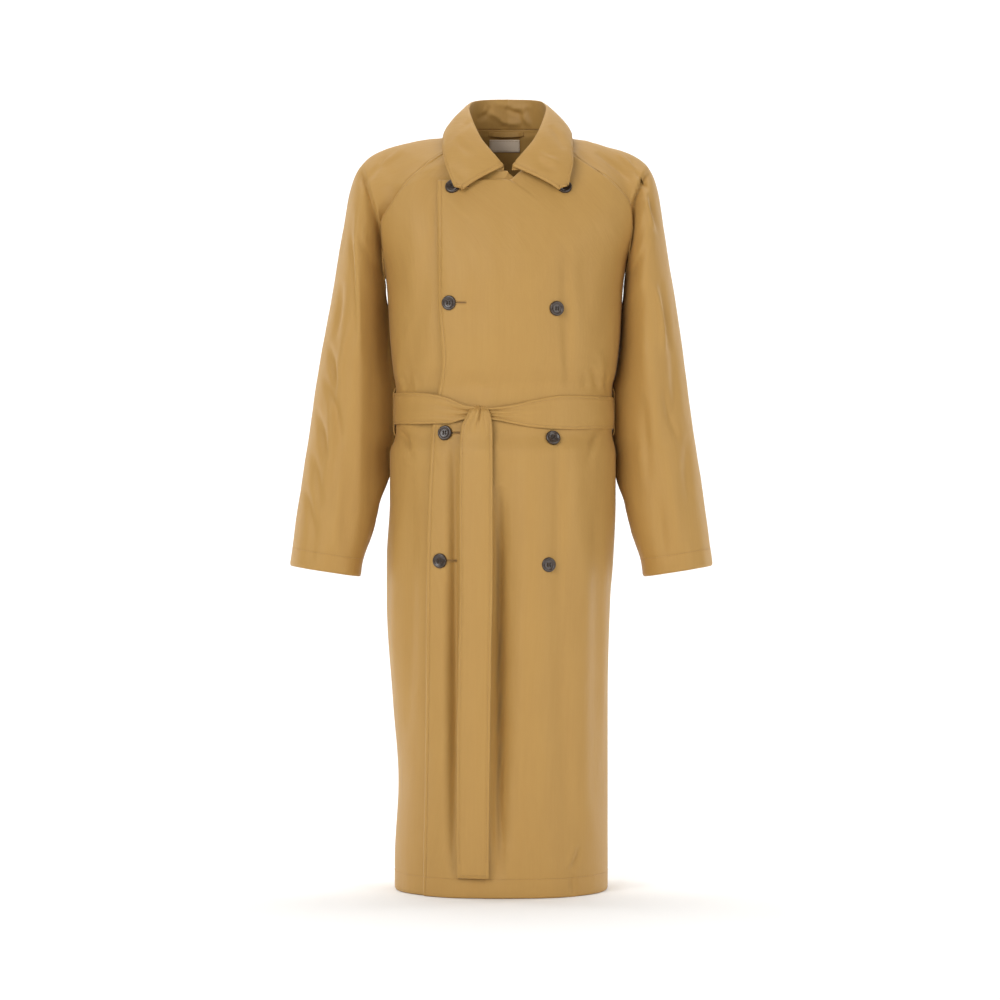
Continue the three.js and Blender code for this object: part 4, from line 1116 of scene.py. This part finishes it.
def button_face(radius):
    """Button's upper side as a height over rings and turns: a rounded rim, a dish and four pits."""
    reach = np.concatenate(([0], np.linspace(0.25, 0.44, 18), np.linspace(0.48, 0.9, 12)))
    reach = np.append(reach, 1 - 0.1 * (1 - np.sin(np.linspace(0.2, math.pi / 2, 7))))
    reach = reach[:, None] * radius
    turn = np.linspace(0, 2 * np.pi, 85)[None, :-1]
    x, z = reach * np.cos(turn), reach * np.sin(turn)
    rim = np.exp(-(((reach - radius + BUTTON["rim"]) / (BUTTON["rim"] * 0.8)) ** 2))
    past = smooth(reach, radius * BUTTON["flat"], radius)
    round_off = BUTTON["height"] * BUTTON["round"] * (1 - np.sqrt(np.clip(1 - past**2, 0, 1)))
    height = BUTTON["height"] - BUTTON["well"] * (1 - rim) - round_off
    for hole in HOLE_TURNS:
        hx, hz = (BUTTON_HOLE["spacing"] * f(math.radians(hole)) for f in (math.cos, math.sin))
        away = np.hypot(x - hx, z - hz)
        wide, narrow = (BUTTON_HOLE["radius"] + sign * BUTTON_HOLE["soft"] for sign in (1, -1))
        height = height - BUTTON_HOLE["pit"] * smooth(away, wide, narrow)
    return x, height, z


def placed(points, centre, normal):
    """Points with their height along y, turned so that it runs along a normal from a centre."""
    across = unit(np.cross(normal, np.array([0, 0, 1.0])))
    up = np.cross(across, normal)
    x, height, z = points
    return centre + x[..., None] * across + height[..., None] * normal + z[..., None] * up


def button_object(name, node, radius, material):
    """Button on its CAD node's place: the face, a side and a flat back, closed at its two poles."""
    low, high = (np.array(corner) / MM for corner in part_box(node))
    centre = (low + high) / 2
    normal = trunk_normal(centre[None], False)[0]
    x, height, z = button_face(radius)
    rings, turns = x.shape
    side = np.array([[0.55, 1.0], [0.12, 0.97], [0.0, 0.9], [0.0, 0.5]])
    turn = np.linspace(0, 2 * np.pi, turns, endpoint=False)
    lower_x = side[:, 1:] * radius * np.cos(turn)
    lower_z = side[:, 1:] * radius * np.sin(turn)
    lower_h = np.broadcast_to(side[:, :1] * height[-1], lower_x.shape)
    shape = [np.concatenate(pair) for pair in ((x[1:], lower_x), (height[1:], lower_h), (z[1:], lower_z))]
    back = centre - normal * BUTTON["height"] / 2
    body = placed(shape, back, normal).reshape(-1, 3)
    poles = placed((np.zeros(2), np.array([height[0, 0], 0]), np.zeros(2)), back, normal)
    points = np.concatenate((body, poles))
    count = rings - 1 + len(side)
    index = np.arange(count * turns).reshape(count, turns)
    after = np.roll(index, -1, 1)
    quads = np.stack((index[:-1], index[1:], after[1:], after[:-1]), -1).reshape(-1, 4)
    top = np.stack((np.full(turns, len(body)), index[0], after[0]), 1)
    bottom = np.stack((np.full(turns, len(body) + 1), after[-1], index[-1]), 1)
    fans = np.concatenate((top, bottom))
    faces = [*quads.tolist(), *fans.tolist()]
    uv = np.stack((points[:, 0], points[:, 2]), 1) * MM
    return mesh_object(name, points, faces, uv, material, (node,)), back, normal


def rods(middles, alongs, outs, length, radius):
    """Low four-sided rods with lowered, closed ends: their points, 16 to a rod."""
    side = np.cross(outs, alongs)
    ends = np.array([-0.5, -0.3, 0.3, 0.5]) * length
    lift = np.array([-0.7, 0.4, 0.4, -0.7]) * radius
    turns = np.radians(np.arange(0, 360, 90))
    ring = middles[:, None] + alongs[:, None] * ends[None, :, None] + outs[:, None] * lift[None, :, None]
    spoke = side[:, None] * np.cos(turns)[None, :, None] + outs[:, None] * np.sin(turns)[None, :, None]
    return (ring[:, :, None] + spoke[:, None] * radius).reshape(-1, 16, 3)


def stitches(line, pitch, length, radius):
    """Rods of thread along a line of points with their normals, a pitch apart."""
    points, normals = line
    travelled = np.append(0, np.cumsum(np.linalg.norm(np.diff(points, axis=0), axis=1)))
    places = np.arange(pitch / 2, travelled[-1], pitch)

    def at(where, values):
        return np.stack([np.interp(where, travelled, values[:, k]) for k in range(3)], -1)

    outs = unit(at(places, normals))
    alongs = unit(at(places + 0.6, points) - at(places - 0.6, points))
    return rods(at(places, points) + outs * radius * 0.3, alongs, outs, length, radius)


def thread_object(name, groups, material):
    """Every rod of a piece's thread as one mesh."""
    points = np.concatenate(groups).reshape(-1, 3)
    i = np.arange(4)
    j = (i + 1) % 4
    sides = [np.stack((i + k, j + k, j + k + 4, i + k + 4), 1) for k in (0, 4, 8)]
    rod = np.concatenate((*sides, [[3, 2, 1, 0], [12, 13, 14, 15]]))
    base = np.arange(len(points) // 16)[:, None, None] * 16
    faces = (rod[None] + base).reshape(-1, 4)
    uv = points[:, [0, 2]] * MM
    return mesh_object(name, points, faces, uv, material, ())


def button_thread(back, normal):
    """Threads of a button: two bars side by side from hole to hole, laid over the dish."""
    across = unit(np.cross(normal, np.array([0, 0, 1.0])))
    up = np.cross(across, normal)
    gap = BUTTON_HOLE["spacing"] * math.cos(math.radians(HOLE_TURNS[0]))
    height = BUTTON["height"] - BUTTON["well"] + BUTTON_BAR["above"]
    middles, alongs = [], []
    for side in (-1, 1):
        for shift in (-BUTTON_BAR["shift"], BUTTON_BAR["shift"]):
            middles.append(back + normal * height + across * (side * gap + shift))
            alongs.append(up)
    outs = np.repeat(normal[None], len(middles), 0)
    return rods(np.array(middles), np.array(alongs), outs, gap * BUTTON_BAR["length"], BUTTON_BAR["radius"])


def buttonhole(panel, back):
    """Worked rim of a buttonhole that runs to the right from under a button, and a dark rod along its cut,
    which is painted shade where the cut opens.
    """
    start = back[0] + HOLE["start"]
    x = np.arange(start, back[0] + HOLE["length"] + 0.01, 0.8)
    ends = np.where((x < x[1]) | (x > x[-2]), 0.35, 1.0)
    rims = []
    for sign in (-1, 1):
        z = back[2] + sign * HOLE["rim"] * 0.75 * ends
        line = on_panel(panel, x, z)
        normals = trunk_normal(line, False)
        up = unit(np.cross(normals, np.array([1.0, 0, 0])))
        rims.append(rods(line + normals * 0.35, up, normals, HOLE["rim"] * 1.3, 0.42))
    # The dark rod along the middle of the cut is painted shade: it stands for the shadow inside the
    # buttonhole's opening
    line = on_panel(panel, x, np.full_like(x, back[2]))
    normals = trunk_normal(line, False)
    along = unit(np.gradient(line, axis=0))
    slit_shade = rods(line + normals * 0.15, along, normals, 1.6, 0.45)
    return np.concatenate(rims), slit_shade


# Finishes

# Lean of the drawn twill, in degrees
TWILL_ANGLE = 63


def linear(code):
    """An sRGB hex colour as linear light, with an alpha of 1."""
    parts = [int(code[i : i + 2], 16) / 255 for i in (1, 3, 5)]
    return [c / 12.92 if c <= 0.04045 else ((c + 0.055) / 1.055) ** 2.4 for c in parts] + [1]


def add_node(tree, kind, inputs=(), links=(), **settings):
    """Adds a node with its settings, input values and links from other nodes' outputs."""
    node = tree.nodes.new(kind)
    for name, value in settings.items():
        setattr(node, name, value)
    for key, value in dict(inputs).items():
        node.inputs[key].default_value = value
    for key, output in dict(links).items():
        tree.links.new(output, node.inputs[key])
    return node


def new_material(name, shader):
    """Empty material with a principled shader whose sockets hold the given values."""
    material = bpy.data.materials.new(name)
    material.use_nodes = True
    tree = material.node_tree
    tree.nodes.clear()
    principled = add_node(tree, "ShaderNodeBsdfPrincipled", shader)
    output = add_node(tree, "ShaderNodeOutputMaterial")
    tree.links.new(principled.outputs["BSDF"], output.inputs["Surface"])
    return material, tree, principled


def sheet_noise(tree, source, size_mm, stretch, **inputs):
    """Noise over the cloth whose features are a size in millimetres, stretched along the warp."""
    scaled = add_node(
        tree,
        "ShaderNodeMapping",
        {"Scale": (1 / (size_mm * MM), 1 / (size_mm * MM * stretch), 1 / (size_mm * MM))},
        {"Vector": source},
    )
    values = {"Scale": 1, "Detail": 3, "Roughness": 0.55, **inputs}
    return add_node(tree, "ShaderNodeTexNoise", values, {"Vector": scaled.outputs["Vector"]}).outputs["Fac"]


def ranged(tree, value, low, high):
    """A 0 to 1 value spread over another range."""
    return add_node(
        tree, "ShaderNodeMapRange", {"To Min": low, "To Max": high}, {"Value": value}
    ).outputs["Result"]


def add(tree, *values):
    """Sum of outputs."""
    total = values[0]
    for value in values[1:]:
        total = add_node(tree, "ShaderNodeMath", (), {0: total, 1: value}, operation="ADD").outputs[0]
    return total


def bumped(tree, principled, height, distance):
    """Raises the surface by a height from 0 to 1 times a distance in metres."""
    bump = add_node(tree, "ShaderNodeBump", {"Strength": 1, "Distance": distance}, {"Height": height})
    tree.links.new(bump.outputs["Normal"], principled.inputs["Normal"])


def toned(tree, principled, dark, light, share):
    """Base colour between two linear colours, by a share from 0 to 1."""
    ends = {6: dark, 7: light}
    mixed = add_node(tree, "ShaderNodeMix", ends, {0: share}, data_type="RGBA")
    tree.links.new(mixed.outputs[2], principled.inputs["Base Color"])


def darker(colour, factor):
    return [c * factor for c in colour[:3]] + [1]


def coat_material(colours, sizes):
    """Cotton gabardine, tightly woven, piece dyed and pressed: smooth, with a soft sheen at grazing
    angles, faint upright unevenness of the yarn and soft crumples from wear."""
    shader = {"Roughness": 0.56, "IOR": 1.5, "Specular IOR Level": 0.32}
    shader.update({"Sheen Weight": 0.1, "Sheen Roughness": 0.45, "Sheen Tint": linear("#ffe9c4")})
    material, tree, principled = new_material("Cotton gabardine, pressed", shader)
    cloth = add_node(tree, "ShaderNodeUVMap", uv_map="Cloth").outputs["UV"]
    # Yarns lie 0.4 mm apart, too fine to show, so the twill is drawn at the spacing that the user sets
    slant = {"Rotation": (0, 0, math.radians(TWILL_ANGLE))}
    slanted = add_node(tree, "ShaderNodeMapping", slant, {"Vector": cloth}).outputs["Vector"]
    lines = {"Scale": math.pi / (10 * sizes.twill_spacing), "Distortion": 0.6, "Detail": 1}
    twill = add_node(tree, "ShaderNodeTexWave", lines, {"Vector": slanted}).outputs["Fac"]
    yarn = sheet_noise(tree, cloth, 1.6, 14)
    crumple = sheet_noise(tree, cloth, 16, 2.2, Distortion=0.8)
    wave = sheet_noise(tree, cloth, 48, 3)
    height = add(
        tree,
        ranged(tree, twill, 0, 0.025),
        ranged(tree, yarn, 0, 0.06),
        ranged(tree, crumple, 0, 0.8 * sizes.crumple),
        ranged(tree, wave, 0, 1.6 * sizes.crumple),
    )
    bumped(tree, principled, height, MM)
    slub = sheet_noise(tree, cloth, 3, 40)
    tone = add(tree, ranged(tree, slub, 0.1, 0.45), ranged(tree, wave, 0.05, 0.4))
    toned(tree, principled, linear(colours.cloth_dark), linear(colours.cloth_light), tone)
    rough = ranged(tree, yarn, 0.5, 0.62)
    tree.links.new(rough, principled.inputs["Roughness"])
    return material


def thread_material(code):
    """Twisted polyester sewing thread: a little shinier than the cloth, with a fine slanted twist."""
    material, tree, principled = new_material("Polyester thread, twisted", {"Roughness": 0.45})
    place = add_node(tree, "ShaderNodeTexCoord").outputs["Object"]
    # Turns of the ply show 1.6 mm apart along a level seam
    lines = {"Scale": 400, "Distortion": 1}
    twist = add_node(tree, "ShaderNodeTexWave", lines, {"Vector": place}, bands_direction="DIAGONAL")
    toned(tree, principled, darker(linear(code), 0.8), linear(code), twist.outputs["Fac"])
    return material


def button_material(code):
    """Buffalo horn, turned and polished: near black with faint brown layers and a soft gloss."""
    shader = {"Roughness": 0.3, "IOR": 1.54, "Coat Weight": 0.3, "Coat Roughness": 0.15}
    material, tree, principled = new_material("Buffalo horn, polished", shader)
    place = add_node(tree, "ShaderNodeTexCoord").outputs["Object"]
    # Layers of horn show about 2 mm apart in height
    flattened = add_node(tree, "ShaderNodeMapping", {"Scale": (1, 1, 3)}, {"Vector": place})
    grain = {"Scale": 170, "Detail": 4, "Distortion": 1.4}
    links = {"Vector": flattened.outputs["Vector"]}
    layers = add_node(tree, "ShaderNodeTexNoise", grain, links).outputs["Fac"]
    toned(tree, principled, linear(code), linear("#4a3626"), ranged(tree, layers, -0.4, 1.2))
    scratch = ranged(tree, layers, 0.24, 0.38)
    tree.links.new(scratch, principled.inputs["Roughness"])
    return material


def label_material(code):
    """Woven satin tape: floats of thread lie across it and give it a dull shine."""
    material, tree, principled = new_material("Satin tape, woven", {"Roughness": 0.5, "Sheen Weight": 0.2})
    cloth = add_node(tree, "ShaderNodeUVMap", uv_map="Cloth").outputs["UV"]
    # Picks of the weave lie 0.25 mm apart; they are drawn at 0.8 mm so that they show
    lines = {"Scale": 390, "Distortion": 0.4}
    weave = add_node(tree, "ShaderNodeTexWave", lines, {"Vector": cloth}, bands_direction="Y")
    picks = weave.outputs["Fac"]
    bumped(tree, principled, picks, 0.06 * MM)
    toned(tree, principled, darker(linear(code), 0.88), linear(code), picks)
    return material


def floor_material(code):
    """Matt white studio paper, which is clear from behind so that it never hides the coat."""
    material, tree, principled = new_material("Matt studio paper", {"Roughness": 0.9})
    place = add_node(tree, "ShaderNodeTexCoord").outputs["Object"]
    grain = add_node(tree, "ShaderNodeTexNoise", {"Scale": 220, "Detail": 2}, {"Vector": place})
    toned(tree, principled, darker(linear(code), 0.99), linear(code), grain.outputs["Fac"])
    back = add_node(tree, "ShaderNodeNewGeometry").outputs["Backfacing"]
    clear = add_node(tree, "ShaderNodeBsdfTransparent").outputs["BSDF"]
    links = {0: back, 1: principled.outputs["BSDF"], 2: clear}
    sided = add_node(tree, "ShaderNodeMixShader", (), links)
    output = next(node for node in tree.nodes if node.bl_idname == "ShaderNodeOutputMaterial")
    tree.links.new(sided.outputs[0], output.inputs["Surface"])
    return material


def finish_of(name):
    """The material of a name, made from the scene's colours and sizes when it is first asked for."""
    colours, sizes = bpy.context.scene.coat_colours, bpy.context.scene.coat_sizes
    makers = {
        "cloth": lambda: coat_material(colours, sizes),
        "thread": lambda: thread_material(colours.thread),
        # The dark thread finish colours the buttons' thread and also the painted shade along the buttonhole
        # cuts
        "dark_thread_and_slit_shade": lambda: thread_material(colours.button_thread),
        "button": lambda: button_material(colours.button),
        "label": lambda: label_material(colours.label),
        "floor": lambda: floor_material(colours.floor),
    }
    kept = {m["coat_finish"]: m for m in bpy.data.materials if "coat_finish" in m}
    if name not in kept:
        kept[name] = makers[name]()
        kept[name]["coat_finish"] = name
    return kept[name]


# Settings that a user would change


def length(name, about, default):
    return bpy.props.FloatProperty(name=name, description=about, default=default, unit="LENGTH")


def colour(name, about, default):
    about += ", as an sRGB hex value"
    return bpy.props.StringProperty(name=name, description=about, default=default)


class CoatSizes(bpy.types.PropertyGroup):
    """Sizes of the cloth, its stitching and its buttons"""

    cloth: length("Cloth", "Thickness of a wall of cloth, with its facing", 0.0015)
    stitch: length("Stitch", "Length of one stitch with its gap", 0.004)
    thread: length("Thread", "Half the thickness of the thread", 0.00035)
    button: length("Button", "Radius of a button", 0.012)
    twill_spacing: length("Twill", "Distance between the drawn lines of the twill", 0.0016)
    crumple: bpy.props.FloatProperty(
        name="Crumple", description="How strongly the cloth is crumpled", default=0.55, subtype="FACTOR"
    )


class CoatColours(bpy.types.PropertyGroup):
    """Colours of the cloth, thread, buttons, label and floor"""

    cloth_light: colour("Cloth, light", "Lighter tone of the cloth", "#b99250")
    cloth_dark: colour("Cloth, dark", "Darker tone of the cloth", "#a98044")
    thread: colour("Thread", "Colour of the stitching", "#b98f50")
    # This colour is also the painted shade along the buttonhole cuts
    button_thread: colour("Button thread", "Colour of the buttons' thread", "#3a2c1e")
    button: colour("Buttons", "Colour of the horn", "#1f1915")
    label: colour("Label", "Colour of the bare label", "#f0dfc8")
    floor: colour("Floor", "Colour of the studio floor", "#fcfcfb")


# Operators, one for each piece or group of like pieces


def thicker_at_hem(grid, cloth, depth):
    """Thickness of a wall whose lower edge is turned up and sewn down."""
    return (cloth + HEM_EXTRA * smooth(edge_gaps(grid, "bottom"), depth + 1, depth - 1))[..., None]


def sew_on(name, lines, sizes):
    """Stitches along lines, as one mesh of thread."""
    pitch = sizes.stitch / MM
    rows = [stitches(line, pitch, pitch * STITCH_SHARE, sizes.thread / MM) for line in lines]
    thread_object(name, rows, finish_of("thread"))


class COAT_OT_panels(bpy.types.Operator):
    """Build the back and both fronts, with their hems and stitching"""

    bl_idname = "coat.panels"
    bl_label = "Back and fronts"

    def execute(self, context):
        sizes = context.scene.coat_sizes
        cloth = sizes.cloth / MM
        back = sewn(back_grid()[:, ::-1], left=0, right=0, top=0, bottom=HEM_DEPTH)
        over = sewn(over_grid(), left=TOP_STITCH, right=0, top=0, bottom=HEM_DEPTH)
        under = sewn(under_grid(), left=0, bottom=HEM_DEPTH)
        walls = {"back": back, "front_over": over, "front_under": under}
        for node, grid in walls.items():
            thickness = thicker_at_hem(grid, cloth, HEM_DEPTH)
            piece = cloth_wall(f"coat_{node}", grid, thickness, finish_of("cloth"), (node,))
        lines = [inside_line(grid, "bottom", HEM_DEPTH) for grid in walls.values()]
        lines.append(inside_line(over, "left", TOP_STITCH))
        sew_on("body_stitches", lines, sizes)
        return {"FINISHED"}


class COAT_OT_sleeves(bpy.types.Operator):
    """Build both raglan sleeves, from the neck to the turned cuffs"""

    bl_idname = "coat.sleeves"
    bl_label = "Sleeves"

    def execute(self, context):
        sizes = context.scene.coat_sizes
        cloth = sizes.cloth / MM
        raglan = len(RAGLAN_ROWS) - 1
        lines = []
        for side in (-1, 1):
            grid = sewn(sleeve_grid(side), left=TOP_STITCH, right=TOP_STITCH, bottom=CUFF_DEPTH)
            name = f"sleeve_{side_name(side)}"
            thickness = thicker_at_hem(grid, cloth, CUFF_DEPTH)
            piece = cloth_wall(f"coat_{name}", grid, thickness, finish_of("cloth"), (name,))
            lines += [inside_line(grid, edge, TOP_STITCH, 1, raglan) for edge in ("left", "right")]
            lines.append(inside_line(grid, "bottom", CUFF_DEPTH))
        sew_on("sleeve_stitches", lines, sizes)
        return {"FINISHED"}


class COAT_OT_collar(bpy.types.Operator):
    """Build the turn-down collar: its stand and its leaf as one sheet"""

    bl_idname = "coat.collar"
    bl_label = "Collar"

    def execute(self, context):
        sizes = context.scene.coat_sizes
        grid = sewn(collar_grid(), left=COLLAR_STITCH, right=COLLAR_STITCH, bottom=COLLAR_STITCH)
        nodes = ("collar_stand", "collar_leaf")
        piece = cloth_wall("coat_collar", grid, sizes.cloth / MM, finish_of("cloth"), nodes)
        leaf = slice(STAND_ROWS + 4, None)
        lines = [inside_line(grid, "bottom", COLLAR_STITCH, 5, -5)]
        lines += [inside_line(grid[leaf], edge, COLLAR_STITCH, 0, -5) for edge in ("left", "right")]
        sew_on("collar_stitches", lines, sizes)
        return {"FINISHED"}


class COAT_OT_belt(bpy.types.Operator):
    """Build the belt: its band, the end wrapped over it, the other end and the carriers"""

    bl_idname = "coat.belt"
    bl_label = "Belt"

    def execute(self, context):
        sizes = context.scene.coat_sizes
        cloth = sizes.cloth / MM
        band = sewn(belt_grid(), top=BELT_STITCH, bottom=BELT_STITCH)
        front = hanging_grid(KNOT["top"], TAIL_BOTTOM["front"], KNOT["over"], True, 1)
        back = hanging_grid(TAIL_TOP, TAIL_BOTTOM["back"], 0, False, 0.6)
        ends = {
            "coat_belt_band": (band, ("belt_band",), "stretched"),
            "coat_belt_front_end": (front, ("belt_knot", "belt_tail_front"), "hung"),
            "coat_belt_back_end": (back, ("belt_tail_back",), "hung"),
        }
        lines = []
        for name, (grid, nodes, held) in ends.items():
            if held == "hung":
                grid = sewn(grid, left=BELT_STITCH, right=BELT_STITCH, bottom=BELT_STITCH)
                edges = ("left", "right", "bottom")
            else:
                edges = ("top", "bottom")
            piece = cloth_wall(name, grid, cloth, finish_of("cloth"), nodes)
            lines += [inside_line(grid, edge, BELT_STITCH, 4, -4) for edge in edges]
        for side in (-1, 1):
            grid = carrier_grid(side)
            node = f"belt_loop_{side_name(side)}"
            cloth_wall(f"coat_{node}", grid, cloth, finish_of("cloth"), (node,))
            lines += [inside_line(grid, edge, CARRIER_STITCH) for edge in ("left", "right")]
        sew_on("belt_stitches", lines, sizes)
        return {"FINISHED"}


class COAT_OT_buttons(bpy.types.Operator):
    """Build the eight horn buttons with their thread, and the worked buttonholes with painted shade along
    their cuts
    """

    bl_idname = "coat.buttons"
    bl_label = "Buttons and buttonholes"

    def execute(self, context):
        sizes = context.scene.coat_sizes
        over = over_grid()
        threads, rims, slit_shades = [], [], []
        for row in (1, 2, 3, 4):
            for side in ("left", "right"):
                node = f"button_{row}_{side}"
                _, back, normal = button_object(f"coat_{node}", node, sizes.button / MM, finish_of("button"))
                threads.append(button_thread(back, normal))
                if side == "left":
                    rim, slit_shade = buttonhole(over, back)
                    rims.append(rim)
                    slit_shades.append(slit_shade)
        thread_object("button_threads", threads, finish_of("dark_thread_and_slit_shade"))
        thread_object("buttonhole_rims", rims, finish_of("thread"))
        # Dark rods that paint the shade inside the buttonhole cuts
        thread_object("buttonhole_slit_shade", slit_shades, finish_of("dark_thread_and_slit_shade"))
        return {"FINISHED"}


class COAT_OT_neck_trim(bpy.types.Operator):
    """Build the bare label and the hanging loop inside the back neck"""

    bl_idname = "coat.neck_trim"
    bl_label = "Label and hanging loop"

    def execute(self, context):
        sizes = context.scene.coat_sizes
        back = back_grid()
        inside = sizes.cloth / MM + SEAM
        x = np.linspace(LABEL["left"], LABEL["right"], 41)[None]
        z = np.linspace(LABEL["top"], LABEL["bottom"], 17)[:, None]
        swell = 0.5 * soft_noise(x, z, 13, 9, 61)
        label = strip_grid(back, x, z, -inside - LABEL["cloth"] - 0.6 + swell, True)
        piece = cloth_wall("coat_label", label, LABEL["cloth"], finish_of("label"), ("label",))
        inset, *stitch = LABEL_STITCH.values()
        lines = [inside_line(label, edge, inset) for edge in ("left", "right", "top", "bottom")]
        rows = [stitches(line, *stitch) for line in lines]
        thread_object("label_stitches", rows, finish_of("thread"))
        x = np.linspace(HANGER["left"], HANGER["right"], 61)[None]
        root = np.minimum(x - HANGER["left"], HANGER["right"] - x)
        stand = HANGER["stand"] * smooth(root, 0, HANGER["roots"])
        z = HANGER["z"] + np.linspace(HANGER["half_height"], -HANGER["half_height"], 9)[:, None]
        sag = 0.9 * np.sin(np.pi * (x - HANGER["left"]) / (HANGER["right"] - HANGER["left"]))
        loop = strip_grid(back, x, z - sag, -inside - HANGER["cloth"] - stand, True)
        piece = cloth_wall("coat_hanger_loop", loop, HANGER["cloth"], finish_of("cloth"), ("hanger_loop",))
        return {"FINISHED"}


def sweep_object():
    """Pale floor that runs up behind the coat in one curve."""
    turn = np.radians(np.linspace(0, 90, 25))
    radius, back = SWEEP["radius"], SWEEP["back"]
    y = np.concatenate(([SWEEP["front"], -2000, 500], back + radius * np.sin(turn), [back + radius]))
    z = np.concatenate(([0, 0, 0], radius * (1 - np.cos(turn)), [SWEEP["height"]])) + FLOOR_Z
    x = np.linspace(1, -1, 9)[None] * SWEEP["half_width"]
    points = points_of(x, y[:, None], z[:, None])
    a = np.arange(points[..., 0].size).reshape(len(y), -1)[:-1, :-1].ravel()
    faces = np.stack((a, a + x.size, a + x.size + 1, a + 1), 1)
    return plain_object("studio_floor", points.reshape(-1, 3), faces, finish_of("floor"))


def lamp_object(name, place, aim, size, power):
    """Soft rectangular lamp, which lights the coat and isn't seen itself."""
    lamp = bpy.data.lights.new(name, "AREA")
    lamp.shape, lamp.size, lamp.size_y, lamp.energy = "RECTANGLE", *size, power
    light = bpy.data.objects.new(name, lamp)
    light.location = place
    light.visible_camera = False
    light.rotation_euler = (Vector(aim) - Vector(place)).to_track_quat("-Z", "Y").to_euler()
    return light


def white_world():
    """Surroundings that look white and light the coat softly."""
    world = bpy.data.worlds.new("Studio")
    world.use_nodes = True
    tree = world.node_tree
    tree.nodes.clear()
    white = linear("#ffffff")
    soft = add_node(tree, "ShaderNodeBackground", {"Color": white, "Strength": WORLD_STRENGTH})
    seen = add_node(tree, "ShaderNodeBackground", {"Color": white, "Strength": 1})
    path = add_node(tree, "ShaderNodeLightPath")
    links = {0: path.outputs["Is Camera Ray"], 1: soft.outputs[0], 2: seen.outputs[0]}
    mixed = add_node(tree, "ShaderNodeMixShader", (), links)
    add_node(tree, "ShaderNodeOutputWorld", (), {"Surface": mixed.outputs[0]})
    return world


def camera_object():
    """Camera straight in front of the coat's middle."""
    lens = bpy.data.cameras.new("Camera")
    for name, value in LENS.items():
        setattr(lens, name, value)
    camera = bpy.data.objects.new("Camera", lens)
    camera.location = CAMERA_PLACE
    camera.rotation_euler = (math.pi / 2, 0, 0)
    return camera


class COAT_OT_stage(bpy.types.Operator):
    """Build the pale floor, the soft studio lights, the white surroundings and the camera"""

    bl_idname = "coat.stage"
    bl_label = "Studio"

    def execute(self, context):
        sweep_object()
        for name, row in LIGHTS.items():
            context.scene.collection.objects.link(lamp_object(name, *row))
        context.scene.world = white_world()
        context.scene.camera = camera_object()
        context.scene.collection.objects.link(context.scene.camera)
        context.scene.view_settings.view_transform = "Standard"
        return {"FINISHED"}


class COAT_PT_panel(bpy.types.Panel):
    """Lists the coat's steps, sizes and colours"""

    bl_idname = "COAT_PT_panel"
    bl_label = "Trench coat"
    bl_space_type = "VIEW_3D"
    bl_region_type = "UI"
    bl_category = "Coat"

    def draw(self, context):
        for step in STEPS:
            self.layout.operator(step.bl_idname)
        for group in (context.scene.coat_sizes, context.scene.coat_colours):
            box = self.layout.box()
            for name in group.__annotations__:
                box.prop(group, name)


STEPS = (
    COAT_OT_panels,
    COAT_OT_sleeves,
    COAT_OT_collar,
    COAT_OT_belt,
    COAT_OT_buttons,
    COAT_OT_neck_trim,
    COAT_OT_stage,
)
CLASSES = (CoatSizes, CoatColours, *STEPS, COAT_PT_panel)


def register():
    for cls in CLASSES:
        bpy.utils.register_class(cls)
    bpy.types.Scene.coat_sizes = bpy.props.PointerProperty(type=CoatSizes)
    bpy.types.Scene.coat_colours = bpy.props.PointerProperty(type=CoatColours)


def unregister():
    del bpy.types.Scene.coat_sizes
    del bpy.types.Scene.coat_colours
    for cls in reversed(CLASSES):
        bpy.utils.unregister_class(cls)


def main():
    register()
    bpy.ops.coat.panels()
    bpy.ops.coat.sleeves()
    bpy.ops.coat.collar()
    bpy.ops.coat.belt()
    bpy.ops.coat.buttons()
    bpy.ops.coat.neck_trim()
    bpy.ops.coat.stage()


if __name__ == "__main__":
    main()
